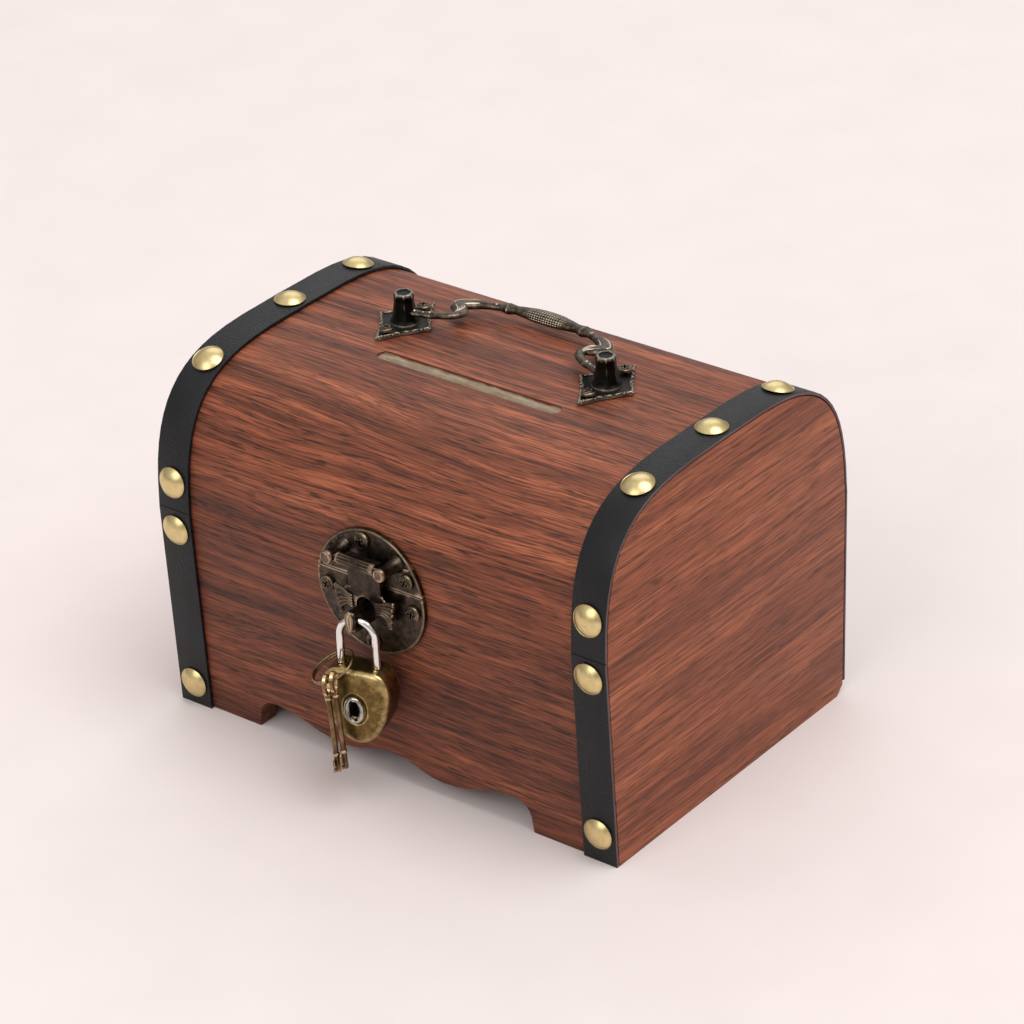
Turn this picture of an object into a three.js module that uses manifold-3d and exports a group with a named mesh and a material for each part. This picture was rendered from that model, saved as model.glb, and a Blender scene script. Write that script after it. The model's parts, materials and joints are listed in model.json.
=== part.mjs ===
// A small arch-topped wooden money box with black straps, dome-headed nails, a carrying
// handle, a hasp and a miniature padlock with its keys.
// Millimetres, +Z up, the front of the box faces -Y and its long side lies along X.
import * as THREE from 'three';
import { mergeVertices } from 'three/addons/utils/BufferGeometryUtils.js';
import Module from 'manifold-3d';

const wasm = await Module();
wasm.setup();

// ---------- driving dimensions ----------
const gap = 0.3;                 // air left between pieces that touch

// wooden case
const halfLength = 84.7;         // middle to the outer face of an end panel
const halfDepth = 60;            // middle to the front face at the seam
const footTaper = 2.14;          // how far the front and back lean in at the floor
const seamZ = 70.15;             // height of the joint between case and lid
const archStartZ = 53.4;         // height where the arch's curve begins
const archTopZ = 115.3;          // height of the wood at the crown
const archPower = 3.774;         // squareness of the arch's curve
const archSteps = 30;            // facets along the arch
const endThick = 8;
const wallThick = 7;
const lidThick = 4.5;
const floorLowZ = 12;            // underside of the bottom panel
const floorThick = 5;
const footChamfer = 3;           // worn rear corner of the end panels

// scalloped lower edge between the feet
const footEdgeX = 52.8;
const footSideZ = 3;
const sideArchX = 46;
const sideArchZ = 10.2;
const lobeX = 19.5;
const lobeZ = 5.2;
const midArchZ = 9.3;

// straps and nails
const strapWide = 12.2;
const strapThick = 1;
const nailRadius = 5;
const nailRise = 2.1;
const nailShankRadius = 0.7;
const nailShankLength = 8;
const leftNails = {
  overCrown: [-40, -2, 30.5],    // distance behind the middle
  aboveSeam: 79.3,               // height, the same at the front and back
  onCase: [63.2, 8],             // heights
};
const rightNails = { overCrown: [-34.7, 0.8, 33.8], aboveSeam: 82.2, onCase: [63.6, 10] };

// coin slot
const slotLong = 68.5;
const slotWide = 5.2;
const slotY = -13;
const slotCutHigh = 30;

// everything screwed to the front and top sits this far off the middle
const fittingX = -1.3;

// carrying handle
const bracketX = 38.2;           // middle of the handle to a post
const bracketY = 6.2;
const plateHalfX = 10;
const plateHalfY = 14.2;
const plateThick = 1.5;
const postHigh = 10.6;
const postFootRadius = 3.3;
const postTopRadius = 2.9;
const pivotHigh = 4.6;           // bail pivot above the plate's underside
const bailPinRadius = 1.1;
const bailRadius = 1.5;
const bailPinHole = 1.3;
const bailOut = 22;              // pivot axis to the middle of the grip
const bailDrop = 2;              // how far the grip hangs below the pivot axis
const bailHalf = [               // out from the middle, and out from the pivot axis
  [34, 0], [29.5, 1.8], [24.6, 5], [23.2, 8.8], [25.8, 11.3],
  [27.4, 13.4], [25.2, 16.4], [20, 19], [12.5, 21.2],
];
const gripLong = 26;
const gripRadius = 2.5;

// hasp
const discRadius = 20.3;
const discZ = 66;
const fittingThick = 1.2;
const haspPostX = 10;            // hasp middle to a hinge post
const haspPostRadius = 1.9;
const haspPinY = -66.7;
const haspPinZ = 78.5;
const haspPinRadius = 0.8;
const haspPostEndY = -69.2;
const barrelRadius = 1.75;
const barrelHalf = 7;
const leafFrontY = -64.2;
const leafThick = 1.3;
const leafStrapHalf = 6.1;
const leafWingHalf = 11.5;
const leafWingTopZ = 66.8;
const leafLowZ = 57.6;
const leafArchRadius = 3.4;
const leafArchZ = 62.6;
const stapleFrontY = -71.7;
const stapleHalfX = 1.2;
const stapleTopZ = 63.9;
const stapleLowZ = 57.2;
const stapleBar = 1.4;

// screws
const screwHeadRadius = 2.5;
const screwHeadRise = 1.3;
const screwShankRadius = 0.8;
const screwShankLength = 5;
const screwHole = 1;
const haspUpperScrews = [[-14.2, 74.2], [-2.4, 82.6], [14.2, 74.2]];
const haspLowerScrews = [[-16.2, 64.5], [0, 49.6], [16.2, 64.5]];
const handleScrewOut = 9;        // bracket middle to a screw

// butt hinges
const hingeX = 45;
const hingeHalf = 12;
const hingeAxisY = 62.6;
const hingeLeafHigh = 12;
const hingeLeafThick = 1;
const knuckleRadius = 1.9;
const knuckleHalf = 4.2;         // half length of the lid leaf's middle knuckle
const hingePinRadius = 0.8;

// padlock, drawn in its own frame: x along its width, z up from the top of the bow, -y its face
const padlockY = -68.6;
const padlockZ = 60.35;
const padlockTurn = THREE.MathUtils.degToRad(15);
const shackleWire = 1.2;
const shackleHalf = 5.75;
const bowSteps = 16;
const lockTopZ = -15.3;
const lockHigh = 25;
const lockHalf = 11;
const lockThick = 10.5;
const lockBevel = 0.8;
const toeDeep = 4.6;
const heelDeep = 9;
const legHole = 1.45;
const plugZ = lockTopZ - 12.5;
const plugRadius = 2.3;
const plugDeep = 4;
const plugProud = 0.5;
const collarHalfX = 3.3;         // oval chrome collar round the plug
const collarHalfZ = 4.5;
const collarProud = 1;

// key ring and keys, in the padlock's frame
const ringRadius = 7;
const ringWire = 0.45;
const ringMiddle = new THREE.Vector3(-7.4, -2.5, lockTopZ - 0.8);
const ringDown = new THREE.Vector3(-0.644, -0.627, -0.437).normalize();
const ringAcross = new THREE.Vector3(0.636, -0.757, 0.149).normalize();
const keyAngles = [127, 106];    // where each key hangs, turned from the ring's upper end
const keyLean = THREE.MathUtils.degToRad(-3.5);
const keyholeHalfX = 0.6;
const keyholeHalfZ = 1.7;
const keyholeDeep = 2.8;
const keyBowHalf = 2.3;
const keyBowHigh = 7.2;
const keyBowThick = 1.1;
const keyEyeHalf = 1.25;
const keyEyeHigh = 4.2;
const keyRim = 1.3;              // metal above the eye
const keyWireDrop = 2.4;         // top of the bow to the ring's wire
const keyShaftRadius = 0.8;
const keyShaftLong = 26.5;
const keyCollarRadius = 1.05;
const keyBitLong = 5;
const keyBitOut = 2.6;

// ---------- materials ----------
function finish(color, roughness, metalness) {
  return new THREE.MeshStandardMaterial({ color, roughness, metalness });
}
const wood = finish(0x6b3f31, 0.5, 0);
const leather = finish(0x2c2928, 0.55, 0);
const paleBrass = finish(0xcbb98a, 0.3, 1);
const bronze = finish(0x3d382e, 0.4, 1);
const lockBrass = finish(0x6e5f38, 0.35, 1);
const chrome = finish(0xd8d6d2, 0.1, 1);
const keyBrass = finish(0x8a7a50, 0.35, 1);

// ---------- solids ----------
function solid(geometry) {
  const plain = new THREE.BufferGeometry();
  plain.setAttribute('position', geometry.getAttribute('position'));
  if (geometry.index) plain.setIndex(geometry.index);
  const merged = mergeVertices(plain, 1e-4);
  const mesh = new wasm.Mesh({
    numProp: 3,
    vertProperties: new Float32Array(merged.getAttribute('position').array),
    triVerts: new Uint32Array(merged.index.array),
  });
  return new wasm.Manifold(mesh);
}

function geometryOf(shape) {
  const mesh = shape.getMesh();
  const geometry = new THREE.BufferGeometry();
  geometry.setAttribute('position', new THREE.BufferAttribute(mesh.vertProperties, 3));
  geometry.setIndex(new THREE.BufferAttribute(mesh.triVerts, 1));
  geometry.computeVertexNormals();
  return geometry;
}

function joined(first, ...others) {
  return others.reduce((whole, other) => whole.add(other), first);
}

function cut(first, ...others) {
  return others.reduce((whole, other) => whole.subtract(other), first);
}

const alongX = new THREE.Matrix4().makeBasis(
  new THREE.Vector3(0, 1, 0), new THREE.Vector3(0, 0, 1), new THREE.Vector3(1, 0, 0));
const alongFront = new THREE.Matrix4().makeBasis(
  new THREE.Vector3(1, 0, 0), new THREE.Vector3(0, 0, 1), new THREE.Vector3(0, -1, 0));

function extruded(shape, depth, curveSegments) {
  return new THREE.ExtrudeGeometry(shape, { depth, bevelEnabled: false, curveSegments });
}

// a (y, z) outline pushed along X
function prismX(shape, lowX, highX) {
  return solid(extruded(shape, highX - lowX, 8).applyMatrix4(alongX).translate(lowX, 0, 0));
}

// an (x, z) outline pushed towards the front, -Y
function prismY(shape, backY, frontY, curveSegments = 10) {
  const geometry = extruded(shape, backY - frontY, curveSegments);
  return solid(geometry.applyMatrix4(alongFront).translate(0, backY, 0));
}

function box(low, high) {
  const size = high.map((value, i) => value - low[i]);
  const middle = high.map((value, i) => (value + low[i]) / 2);
  return solid(new THREE.BoxGeometry(...size).translate(...middle));
}

function rodX(radius, lowX, highX, y, z, sides = 16) {
  const geometry = new THREE.CylinderGeometry(radius, radius, highX - lowX, sides).rotateZ(Math.PI / 2);
  return solid(geometry.translate((lowX + highX) / 2, y, z));
}

function rodY(radius, backY, frontY, x, z, sides = 16) {
  const geometry = new THREE.CylinderGeometry(radius, radius, backY - frontY, sides);
  return solid(geometry.translate(x, (backY + frontY) / 2, z));
}

function rodZ(radius, lowZ, highZ, x, y, sides = 16, topRadius = radius) {
  const geometry = new THREE.CylinderGeometry(topRadius, radius, highZ - lowZ, sides).rotateX(Math.PI / 2);
  return solid(geometry.translate(x, y, (lowZ + highZ) / 2));
}

function outline(points) {
  return new THREE.Shape(points.map(([a, b]) => new THREE.Vector2(a, b)));
}

// ---------- the arch and the leaning walls ----------
const archHigh = archTopZ - archStartZ;

function archAngle(z) {
  return Math.asin(((z - archStartZ) / archHigh) ** (archPower / 2));
}

// point and outward direction on the arch, from 0 at the front to pi at the back
function archPoint(angle, offset = 0) {
  const side = -Math.sign(Math.cos(angle));
  const across = Math.abs(Math.cos(angle)) ** (2 / archPower);
  const up = Math.sin(angle) ** (2 / archPower);
  const slopeY = side * across ** (archPower - 1) / halfDepth;
  const slopeZ = up ** (archPower - 1) / archHigh;
  const slope = Math.hypot(slopeY, slopeZ);
  const y = side * halfDepth * across + offset * slopeY / slope;
  const z = archStartZ + archHigh * up + offset * slopeZ / slope;
  return { y, z, tilt: Math.atan2(slopeZ, slopeY) };
}

function archAngleAtY(y) {
  const angle = Math.acos((Math.abs(y) / halfDepth) ** (archPower / 2));
  return y < 0 ? angle : Math.PI - angle;
}

const lidLowZ = seamZ + gap / 2;
const caseTopZ = seamZ - gap / 2;

function archLine(offset, lowZ = lidLowZ) {
  const first = archAngle(lidLowZ);
  const line = [];
  for (let i = 0; i <= archSteps; i += 1) {
    const point = archPoint(first + (Math.PI - 2 * first) * i / archSteps, offset);
    line.push([point.y, i === 0 || i === archSteps ? lowZ : point.z]);
  }
  return line;
}

function archBand(inner, outer) {
  return outline([...archLine(outer), ...archLine(inner).reverse()]);
}

function wallY(z) {
  return halfDepth - footTaper * (1 - z / seamZ);
}

// a slice of the front wall between two offsets from its outer face
function wallBand(inner, outer, lowZ, highZ) {
  return outline([
    [-wallY(lowZ) - outer, lowZ], [-wallY(lowZ) - inner, lowZ],
    [-wallY(highZ) - inner, highZ], [-wallY(highZ) - outer, highZ],
  ]);
}

// ---------- nails and screws ----------
const wallLean = Math.atan2(footTaper, seamZ);
const nailSeat = gap + strapThick + gap;

function nailGeometry() {
  const profile = [
    [0, -nailShankLength], [nailShankRadius, -nailShankLength], [nailShankRadius, 0],
    [nailRadius - 0.3, 0], [nailRadius, 0.3], [nailRadius * 0.86, nailRise * 0.62],
    [nailRadius * 0.5, nailRise * 0.93], [0, nailRise],
  ];
  return headGeometry(profile, 16);
}

function screwGeometry() {
  const profile = [
    [0, -screwShankLength], [screwShankRadius, -screwShankLength], [screwShankRadius, 0],
    [screwHeadRadius, 0], [screwHeadRadius, screwHeadRise * 0.5],
    [screwHeadRadius * 0.7, screwHeadRise], [0, screwHeadRise],
  ];
  return headGeometry(profile, 14);
}

function headGeometry(profile, sides) {
  const points = profile.map(([radius, height]) => new THREE.Vector2(radius, height));
  return new THREE.LatheGeometry(points, sides).rotateX(Math.PI / 2);
}

// a frame whose +Z points out of the surface at the given tilt, 0 towards +Y and 90 degrees up
function seatMatrix(x, y, z, tilt) {
  const turn = new THREE.Matrix4().makeRotationX(tilt - Math.PI / 2);
  return new THREE.Matrix4().makeTranslation(x, y, z).multiply(turn);
}

function nailSpots() {
  const spots = [];
  for (const [sideName, side, places] of [['left', -1, leftNails], ['right', 1, rightNails]]) {
    const x = side * (halfLength - strapWide / 2);
    const low = archAngle(places.aboveSeam);
    [low, ...places.overCrown.map(archAngleAtY), Math.PI - low].forEach((angle, i) => {
      const seat = archPoint(angle, nailSeat);
      spots.push({ name: `nail_${sideName}_lid_${i + 1}`, side, part: 'lid', x, ...seat });
    });
    places.onCase.forEach((z, i) => {
      const y = wallY(z) + nailSeat;
      const front = { name: `nail_${sideName}_front_${i + 1}`, side, part: 'front' };
      const back = { name: `nail_${sideName}_back_${i + 1}`, side, part: 'back' };
      spots.push({ ...front, x, y: -y, z, tilt: Math.PI + wallLean });
      spots.push({ ...back, x, y, z, tilt: -wallLean });
    });
  }
  return spots;
}

const nails = nailSpots();

function holeAt(spot, radius, depth, sides = 8) {
  const geometry = new THREE.CylinderGeometry(radius, radius, depth + 1, sides).rotateX(Math.PI / 2);
  geometry.translate(0, 0, (1 - depth) / 2);
  return solid(geometry.applyMatrix4(seatMatrix(spot.x, spot.y, spot.z, spot.tilt)));
}

function nailHoles(side, ...parts) {
  const spots = nails.filter((spot) => spot.side === side && parts.includes(spot.part));
  return spots.map((spot) => holeAt(spot, nailShankRadius + 0.2, nailShankLength + 0.5));
}

const plateTopZ = archTopZ + gap + plateThick;

function screwSpots() {
  const spots = [];
  for (const [sideName, side] of [['left', -1], ['right', 1]]) {
    for (const [endName, end] of [['front', -1], ['back', 1]]) {
      const x = fittingX + side * bracketX;
      const y = bracketY + end * handleScrewOut;
      const z = plateTopZ + gap;
      const name = `handle_screw_${sideName}_${endName}`;
      spots.push({ name, part: 'handle', side, x, y, z, tilt: Math.PI / 2 });
    }
  }
  haspUpperScrews.forEach(([x, z], i) => {
    const seat = archPoint(archAngle(z), gap * 2 + fittingThick);
    spots.push({ name: `hasp_upper_screw_${i + 1}`, part: 'upper', x: fittingX + x, ...seat });
  });
  haspLowerScrews.forEach(([x, z], i) => {
    const y = -wallY(z) - gap * 2 - fittingThick;
    const tilt = Math.PI + wallLean;
    spots.push({ name: `hasp_lower_screw_${i + 1}`, part: 'lower', x: fittingX + x, y, z, tilt });
  });
  return spots;
}

const screws = screwSpots();

function screwHoles(part, side) {
  const wanted = (spot) => spot.part === part && (side === undefined || spot.side === side);
  return screws.filter(wanted).map((spot) => holeAt(spot, screwHole, screwShankLength + 0.3));
}

// ---------- wooden case ----------
const innerX = halfLength - endThick - gap;

function scallopShape() {
  const shape = new THREE.Shape();
  shape.moveTo(-footEdgeX - 0.6, -1);
  shape.lineTo(-footEdgeX, footSideZ);
  shape.bezierCurveTo(-footEdgeX, 8, -50, sideArchZ, -sideArchX, sideArchZ);
  shape.bezierCurveTo(-36, sideArchZ, -30, lobeZ, -lobeX, lobeZ);
  shape.bezierCurveTo(-11, lobeZ, -9, midArchZ, 0, midArchZ);
  shape.bezierCurveTo(9, midArchZ, 11, lobeZ, lobeX, lobeZ);
  shape.bezierCurveTo(30, lobeZ, 36, sideArchZ, sideArchX, sideArchZ);
  shape.bezierCurveTo(50, sideArchZ, footEdgeX, 8, footEdgeX, footSideZ);
  shape.lineTo(footEdgeX + 0.6, -1);
  return shape;
}

function wallPanel() {
  const wall = prismX(wallBand(-wallThick, 0, 0, caseTopZ), -innerX, innerX);
  return cut(wall, prismY(scallopShape(), -halfDepth + wallThick + 5, -halfDepth - 2, 6));
}

function frontPanel() {
  return cut(wallPanel(), ...screwHoles('lower'));
}

function backPanel() {
  return wallPanel().mirror([0, 1, 0]);
}

function endPanel(side) {
  const low = side < 0 ? -halfLength : halfLength - endThick;
  const shape = outline([
    [-wallY(0), 0], [wallY(0) - footChamfer, 0], [wallY(footChamfer), footChamfer],
    [wallY(caseTopZ), caseTopZ], [-wallY(caseTopZ), caseTopZ],
  ]);
  return cut(prismX(shape, low, low + endThick), ...nailHoles(side, 'front', 'back'));
}

function bottomPanel() {
  const y = wallY(floorLowZ) - wallThick - gap;
  return box([-innerX, -y, floorLowZ], [innerX, y, floorLowZ + floorThick]);
}

// ---------- wooden lid ----------
function coinSlot() {
  const half = slotLong / 2 - slotWide / 2;
  const shape = new THREE.Shape();
  shape.absarc(-half, slotY, slotWide / 2, Math.PI / 2, Math.PI * 1.5, false);
  shape.absarc(half, slotY, slotWide / 2, -Math.PI / 2, Math.PI / 2, false);
  return solid(extruded(shape, slotCutHigh, 6).translate(0, 0, archTopZ - slotCutHigh / 2));
}

function lidSkin() {
  const skin = prismX(archBand(-lidThick, 0), -innerX, innerX);
  return cut(skin, coinSlot(), ...screwHoles('handle'), ...screwHoles('upper'));
}

function lidEnd(side) {
  const low = side < 0 ? -halfLength : halfLength - endThick;
  return cut(prismX(outline(archLine(0)), low, low + endThick), ...nailHoles(side, 'lid'));
}

// ---------- straps ----------
function strapSpan(side) {
  const inner = halfLength - strapWide;
  return side < 0 ? [-halfLength, -inner] : [inner, halfLength];
}

function lidStrap(side) {
  const strap = prismX(archBand(gap, gap + strapThick), ...strapSpan(side));
  return cut(strap, ...nailHoles(side, 'lid'));
}

function caseStrap(side, part) {
  const lowZ = part === 'back' ? footChamfer + 1 : 0;
  const strap = prismX(wallBand(gap, gap + strapThick, lowZ, caseTopZ), ...strapSpan(side));
  const placed = part === 'back' ? strap.mirror([0, 1, 0]) : strap;
  return cut(placed, ...nailHoles(side, part));
}

// ---------- butt hinges ----------
function knuckle(lowX, highX, radius) {
  return rodX(radius, lowX, highX, hingeAxisY, seamZ, 16);
}

function hingeLower(x) {
  const low = caseTopZ - hingeLeafHigh;
  const leaf = box([x - hingeHalf, halfDepth + gap, low],
    [x + hingeHalf, halfDepth + gap + hingeLeafThick, caseTopZ]);
  const clear = knuckle(x - knuckleHalf - gap, x + knuckleHalf + gap, knuckleRadius + gap);
  const left = knuckle(x - hingeHalf, x - knuckleHalf - gap, knuckleRadius);
  const right = knuckle(x + knuckleHalf + gap, x + hingeHalf, knuckleRadius);
  return joined(cut(leaf, clear), left, right, knuckle(x - hingeHalf, x + hingeHalf, hingePinRadius));
}

function hingeUpper(x) {
  const leaf = box([x - hingeHalf, halfDepth + gap, lidLowZ],
    [x + hingeHalf, halfDepth + gap + hingeLeafThick, lidLowZ + hingeLeafHigh]);
  const left = knuckle(x - hingeHalf - gap, x - knuckleHalf, knuckleRadius + gap);
  const right = knuckle(x + knuckleHalf, x + hingeHalf + gap, knuckleRadius + gap);
  const barrel = knuckle(x - knuckleHalf, x + knuckleHalf, knuckleRadius);
  const bore = knuckle(x - hingeHalf, x + hingeHalf, hingePinRadius + 0.1);
  return cut(joined(cut(leaf, left, right), barrel), bore);
}

// ---------- carrying handle ----------
function handleBracket(side) {
  const x = fittingX + side * bracketX;
  const low = archTopZ + gap;
  const shape = outline([[plateHalfX, 0], [0, plateHalfY], [-plateHalfX, 0], [0, -plateHalfY]]);
  const plate = solid(extruded(shape, plateThick, 1).translate(x, bracketY, low));
  const post = rodZ(postFootRadius, low + plateThick / 2, low + postHigh, x, bracketY, 12, postTopRadius);
  const inward = -side;
  const ends = [x - 0.5 * side, x + inward * (postFootRadius + 1)].sort((a, b) => a - b);
  const socket = rodX(bailPinHole, ...ends, bracketY, low + pivotHigh, 12);
  return cut(joined(plate, post), socket, ...screwHoles('handle', side));
}

function bailCurve() {
  const flat = bailHalf.map(([x, y]) => new THREE.Vector3(-x, y, -bailDrop * y / bailOut));
  const mirrored = flat.map((point) => new THREE.Vector3(-point.x, point.y, point.z)).reverse();
  return new THREE.CatmullRomCurve3([...flat, new THREE.Vector3(0, bailOut, -bailDrop), ...mirrored]);
}

function roundSection(radius, sides) {
  const points = [];
  for (let i = 0; i < sides; i += 1) {
    const angle = 2 * Math.PI * i / sides;
    points.push([radius * Math.cos(angle), radius * Math.sin(angle)]);
  }
  return outline(points);
}

function tube(curve, radius, sides, steps) {
  const options = { steps, bevelEnabled: false, extrudePath: curve };
  return solid(new THREE.ExtrudeGeometry(roundSection(radius, sides), options));
}

function bail() {
  const y = bracketY;
  const z = archTopZ + gap + pivotHigh;
  const rod = tube(bailCurve(), bailRadius, 8, 52).translate([fittingX, y, z]);
  const grip = solid(new THREE.SphereGeometry(1, 12, 8).rotateZ(Math.PI / 2)
    .scale(gripLong / 2, gripRadius, gripRadius).translate(fittingX, y + bailOut, z - bailDrop));
  const pinEnd = bracketX - 0.9;
  const left = rodX(bailPinRadius, fittingX - pinEnd, fittingX - bracketX + 5, y, z, 10);
  const right = rodX(bailPinRadius, fittingX + bracketX - 5, fittingX + pinEnd, y, z, 10);
  return joined(rod, grip, left, right);
}

// ---------- hasp ----------
function haspDisc() {
  return rodY(discRadius, -halfDepth + 10, -halfDepth - 10, fittingX, discZ, 48);
}

function haspUpperPlate() {
  const shell = prismX(archBand(gap, gap + fittingThick), fittingX - discRadius, fittingX + discRadius);
  const frontHalf = box([-halfLength, -halfDepth - 5, lidLowZ], [halfLength, 0, archTopZ]);
  let plate = shell.intersect(haspDisc()).intersect(frontHalf);
  for (const side of [-1, 1]) {
    const x = fittingX + side * haspPostX;
    plate = plate.add(rodY(haspPostRadius, -halfDepth - gap, haspPostEndY, x, haspPinZ, 16));
  }
  const bore = haspPinRod(haspPinRadius + 0.15, discRadius);
  return cut(plate, bore, ...screwHoles('upper'));
}

function haspPinRod(radius, half, sides = 12) {
  return rodX(radius, fittingX - half, fittingX + half, haspPinY, haspPinZ, sides);
}

function haspPin() {
  return haspPinRod(haspPinRadius, haspPostX + haspPostRadius - 0.3);
}

function leafShape() {
  const shape = new THREE.Shape();
  shape.moveTo(-leafStrapHalf, haspPinZ + 0.6);
  shape.lineTo(-leafStrapHalf, leafWingTopZ - 1.2);
  shape.quadraticCurveTo(-leafWingHalf * 0.8, leafWingTopZ - 1.6, -leafWingHalf, leafWingTopZ);
  shape.quadraticCurveTo(-leafWingHalf * 0.9, leafArchZ, -leafWingHalf * 0.78, leafLowZ + 1);
  shape.lineTo(-leafArchRadius - 0.4, leafLowZ);
  shape.lineTo(-leafArchRadius, leafArchZ);
  shape.absarc(0, leafArchZ, leafArchRadius, Math.PI, 0, true);
  shape.lineTo(leafArchRadius + 0.4, leafLowZ);
  shape.lineTo(leafWingHalf * 0.78, leafLowZ + 1);
  shape.quadraticCurveTo(leafWingHalf * 0.9, leafArchZ, leafWingHalf, leafWingTopZ);
  shape.quadraticCurveTo(leafWingHalf * 0.8, leafWingTopZ - 1.6, leafStrapHalf, leafWingTopZ - 1.2);
  shape.lineTo(leafStrapHalf, haspPinZ + 0.6);
  return shape;
}

function haspLeaf() {
  const plate = prismY(leafShape(), leafFrontY + leafThick, leafFrontY, 6).translate([fittingX, 0, 0]);
  const barrel = haspPinRod(barrelRadius, barrelHalf, 16);
  const bridge = box([fittingX - leafStrapHalf, haspPinY, haspPinZ - barrelRadius],
    [fittingX + leafStrapHalf, leafFrontY + leafThick, haspPinZ - barrelRadius + 1.6]);
  return cut(joined(plate, barrel, bridge), haspPinRod(haspPinRadius + 0.1, barrelHalf + 1));
}

function haspLowerPlate() {
  const band = wallBand(gap, gap + fittingThick, discZ - discRadius - 1, caseTopZ);
  const shell = prismX(band, fittingX - discRadius, fittingX + discRadius);
  const plate = shell.intersect(haspDisc());
  const backY = -halfDepth - gap;
  const loop = new THREE.Shape();
  loop.moveTo(backY, stapleLowZ);
  loop.lineTo(backY, stapleTopZ);
  loop.lineTo(stapleFrontY + 1.5, stapleTopZ);
  loop.quadraticCurveTo(stapleFrontY, stapleTopZ, stapleFrontY, stapleTopZ - 1.5);
  loop.lineTo(stapleFrontY, stapleLowZ + 2);
  loop.quadraticCurveTo(stapleFrontY, stapleLowZ, stapleFrontY + 2, stapleLowZ);
  const eye = box([fittingX - 5, stapleFrontY + stapleBar, stapleLowZ + stapleBar],
    [fittingX + 5, stapleFrontY + stapleBar + 3.6, stapleTopZ - stapleBar]);
  const staple = cut(prismX(loop, fittingX - stapleHalfX, fittingX + stapleHalfX), eye);
  return cut(joined(plate, staple), ...screwHoles('lower'));
}

// ---------- padlock, in its own frame ----------
function shackle() {
  const points = [new THREE.Vector3(-shackleHalf, 0, lockTopZ - toeDeep)];
  for (let i = 0; i <= bowSteps; i += 1) {
    const angle = Math.PI * (1 - i / bowSteps);
    const rise = shackleHalf * Math.sin(angle) - shackleHalf;
    points.push(new THREE.Vector3(shackleHalf * Math.cos(angle), 0, rise));
  }
  points.push(new THREE.Vector3(shackleHalf, 0, lockTopZ - heelDeep));
  return sweptTube(points, shackleWire, 12);
}

// a round bar along a chain of points that lie in one plane facing -y
function sweptTube(points, radius, sides) {
  const positions = [];
  const faces = [];
  const facing = new THREE.Vector3(0, -1, 0);
  points.forEach((point, i) => {
    const before = points[Math.max(i - 1, 0)];
    const after = points[Math.min(i + 1, points.length - 1)];
    const ahead = new THREE.Vector3().subVectors(after, before).normalize();
    const across = new THREE.Vector3().crossVectors(ahead, facing);
    for (let k = 0; k < sides; k += 1) {
      const angle = 2 * Math.PI * k / sides;
      const spot = point.clone().addScaledVector(across, radius * Math.cos(angle));
      spot.addScaledVector(facing, radius * Math.sin(angle));
      positions.push(spot.x, spot.y, spot.z);
    }
  });
  const ring = (i, k) => i * sides + k % sides;
  for (let i = 0; i + 1 < points.length; i += 1) {
    for (let k = 0; k < sides; k += 1) {
      faces.push(ring(i, k), ring(i + 1, k), ring(i + 1, k + 1));
      faces.push(ring(i, k), ring(i + 1, k + 1), ring(i, k + 1));
    }
  }
  const last = points.length - 1;
  for (let k = 1; k + 1 < sides; k += 1) {
    faces.push(ring(0, 0), ring(0, k), ring(0, k + 1));
    faces.push(ring(last, 0), ring(last, k + 1), ring(last, k));
  }
  const geometry = new THREE.BufferGeometry();
  geometry.setAttribute('position', new THREE.Float32BufferAttribute(positions, 3));
  geometry.setIndex(faces);
  return solid(geometry);
}

function lockShape() {
  const half = lockHalf - lockBevel;
  const top = lockTopZ - lockBevel;
  const low = lockTopZ - lockHigh + lockBevel;
  const shape = new THREE.Shape();
  shape.moveTo(-5, top);
  shape.bezierCurveTo(-8.4, top, -half, top - 2.6, -half, top - 6.5);
  shape.bezierCurveTo(-half, top - 14, -6, low, 0, low);
  shape.bezierCurveTo(6, low, half, top - 14, half, top - 6.5);
  shape.bezierCurveTo(half, top - 2.6, 8.4, top, 5, top);
  return shape;
}

function lockBody() {
  const geometry = new THREE.ExtrudeGeometry(lockShape(), {
    depth: lockThick - 2 * lockBevel, bevelThickness: lockBevel, bevelSize: lockBevel,
    bevelSegments: 2, curveSegments: 8,
  });
  const body = solid(geometry.applyMatrix4(alongFront).translate(0, lockThick / 2 - lockBevel, 0));
  const toe = rodZ(legHole, lockTopZ - toeDeep - 0.6, lockTopZ + 1, -shackleHalf, 0, 12);
  const heel = rodZ(legHole, lockTopZ - heelDeep - 0.6, lockTopZ + 1, shackleHalf, 0, 12);
  const seat = rodY(plugRadius + 0.2, -lockThick / 2 + plugDeep, -lockThick / 2 - 1, 0, plugZ, 20);
  return cut(body, toe, heel, seat);
}

function lockPlug() {
  const back = -lockThick / 2 + plugDeep - gap;
  const front = -lockThick / 2 - plugProud;
  const plug = rodY(plugRadius, back, front, 0, plugZ, 20);
  const slot = box([-keyholeHalfX, front - 1, plugZ - keyholeHalfZ],
    [keyholeHalfX, front + keyholeDeep, plugZ + keyholeHalfZ]);
  return cut(plug, slot);
}

function lockCollar() {
  const shape = new THREE.Shape();
  shape.absellipse(0, plugZ, collarHalfX, collarHalfZ, 0, 2 * Math.PI, false, 0);
  const back = -lockThick / 2 - gap;
  const hole = rodY(plugRadius + 0.2, back + 1, back - collarProud - 1, 0, plugZ, 20);
  return cut(prismY(shape, back, back - collarProud, 12), hole);
}

function ringPoint(degrees) {
  const angle = THREE.MathUtils.degToRad(degrees);
  const point = ringMiddle.clone().addScaledVector(ringDown, -ringRadius * Math.cos(angle));
  return point.addScaledVector(ringAcross, ringRadius * Math.sin(angle));
}

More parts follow.
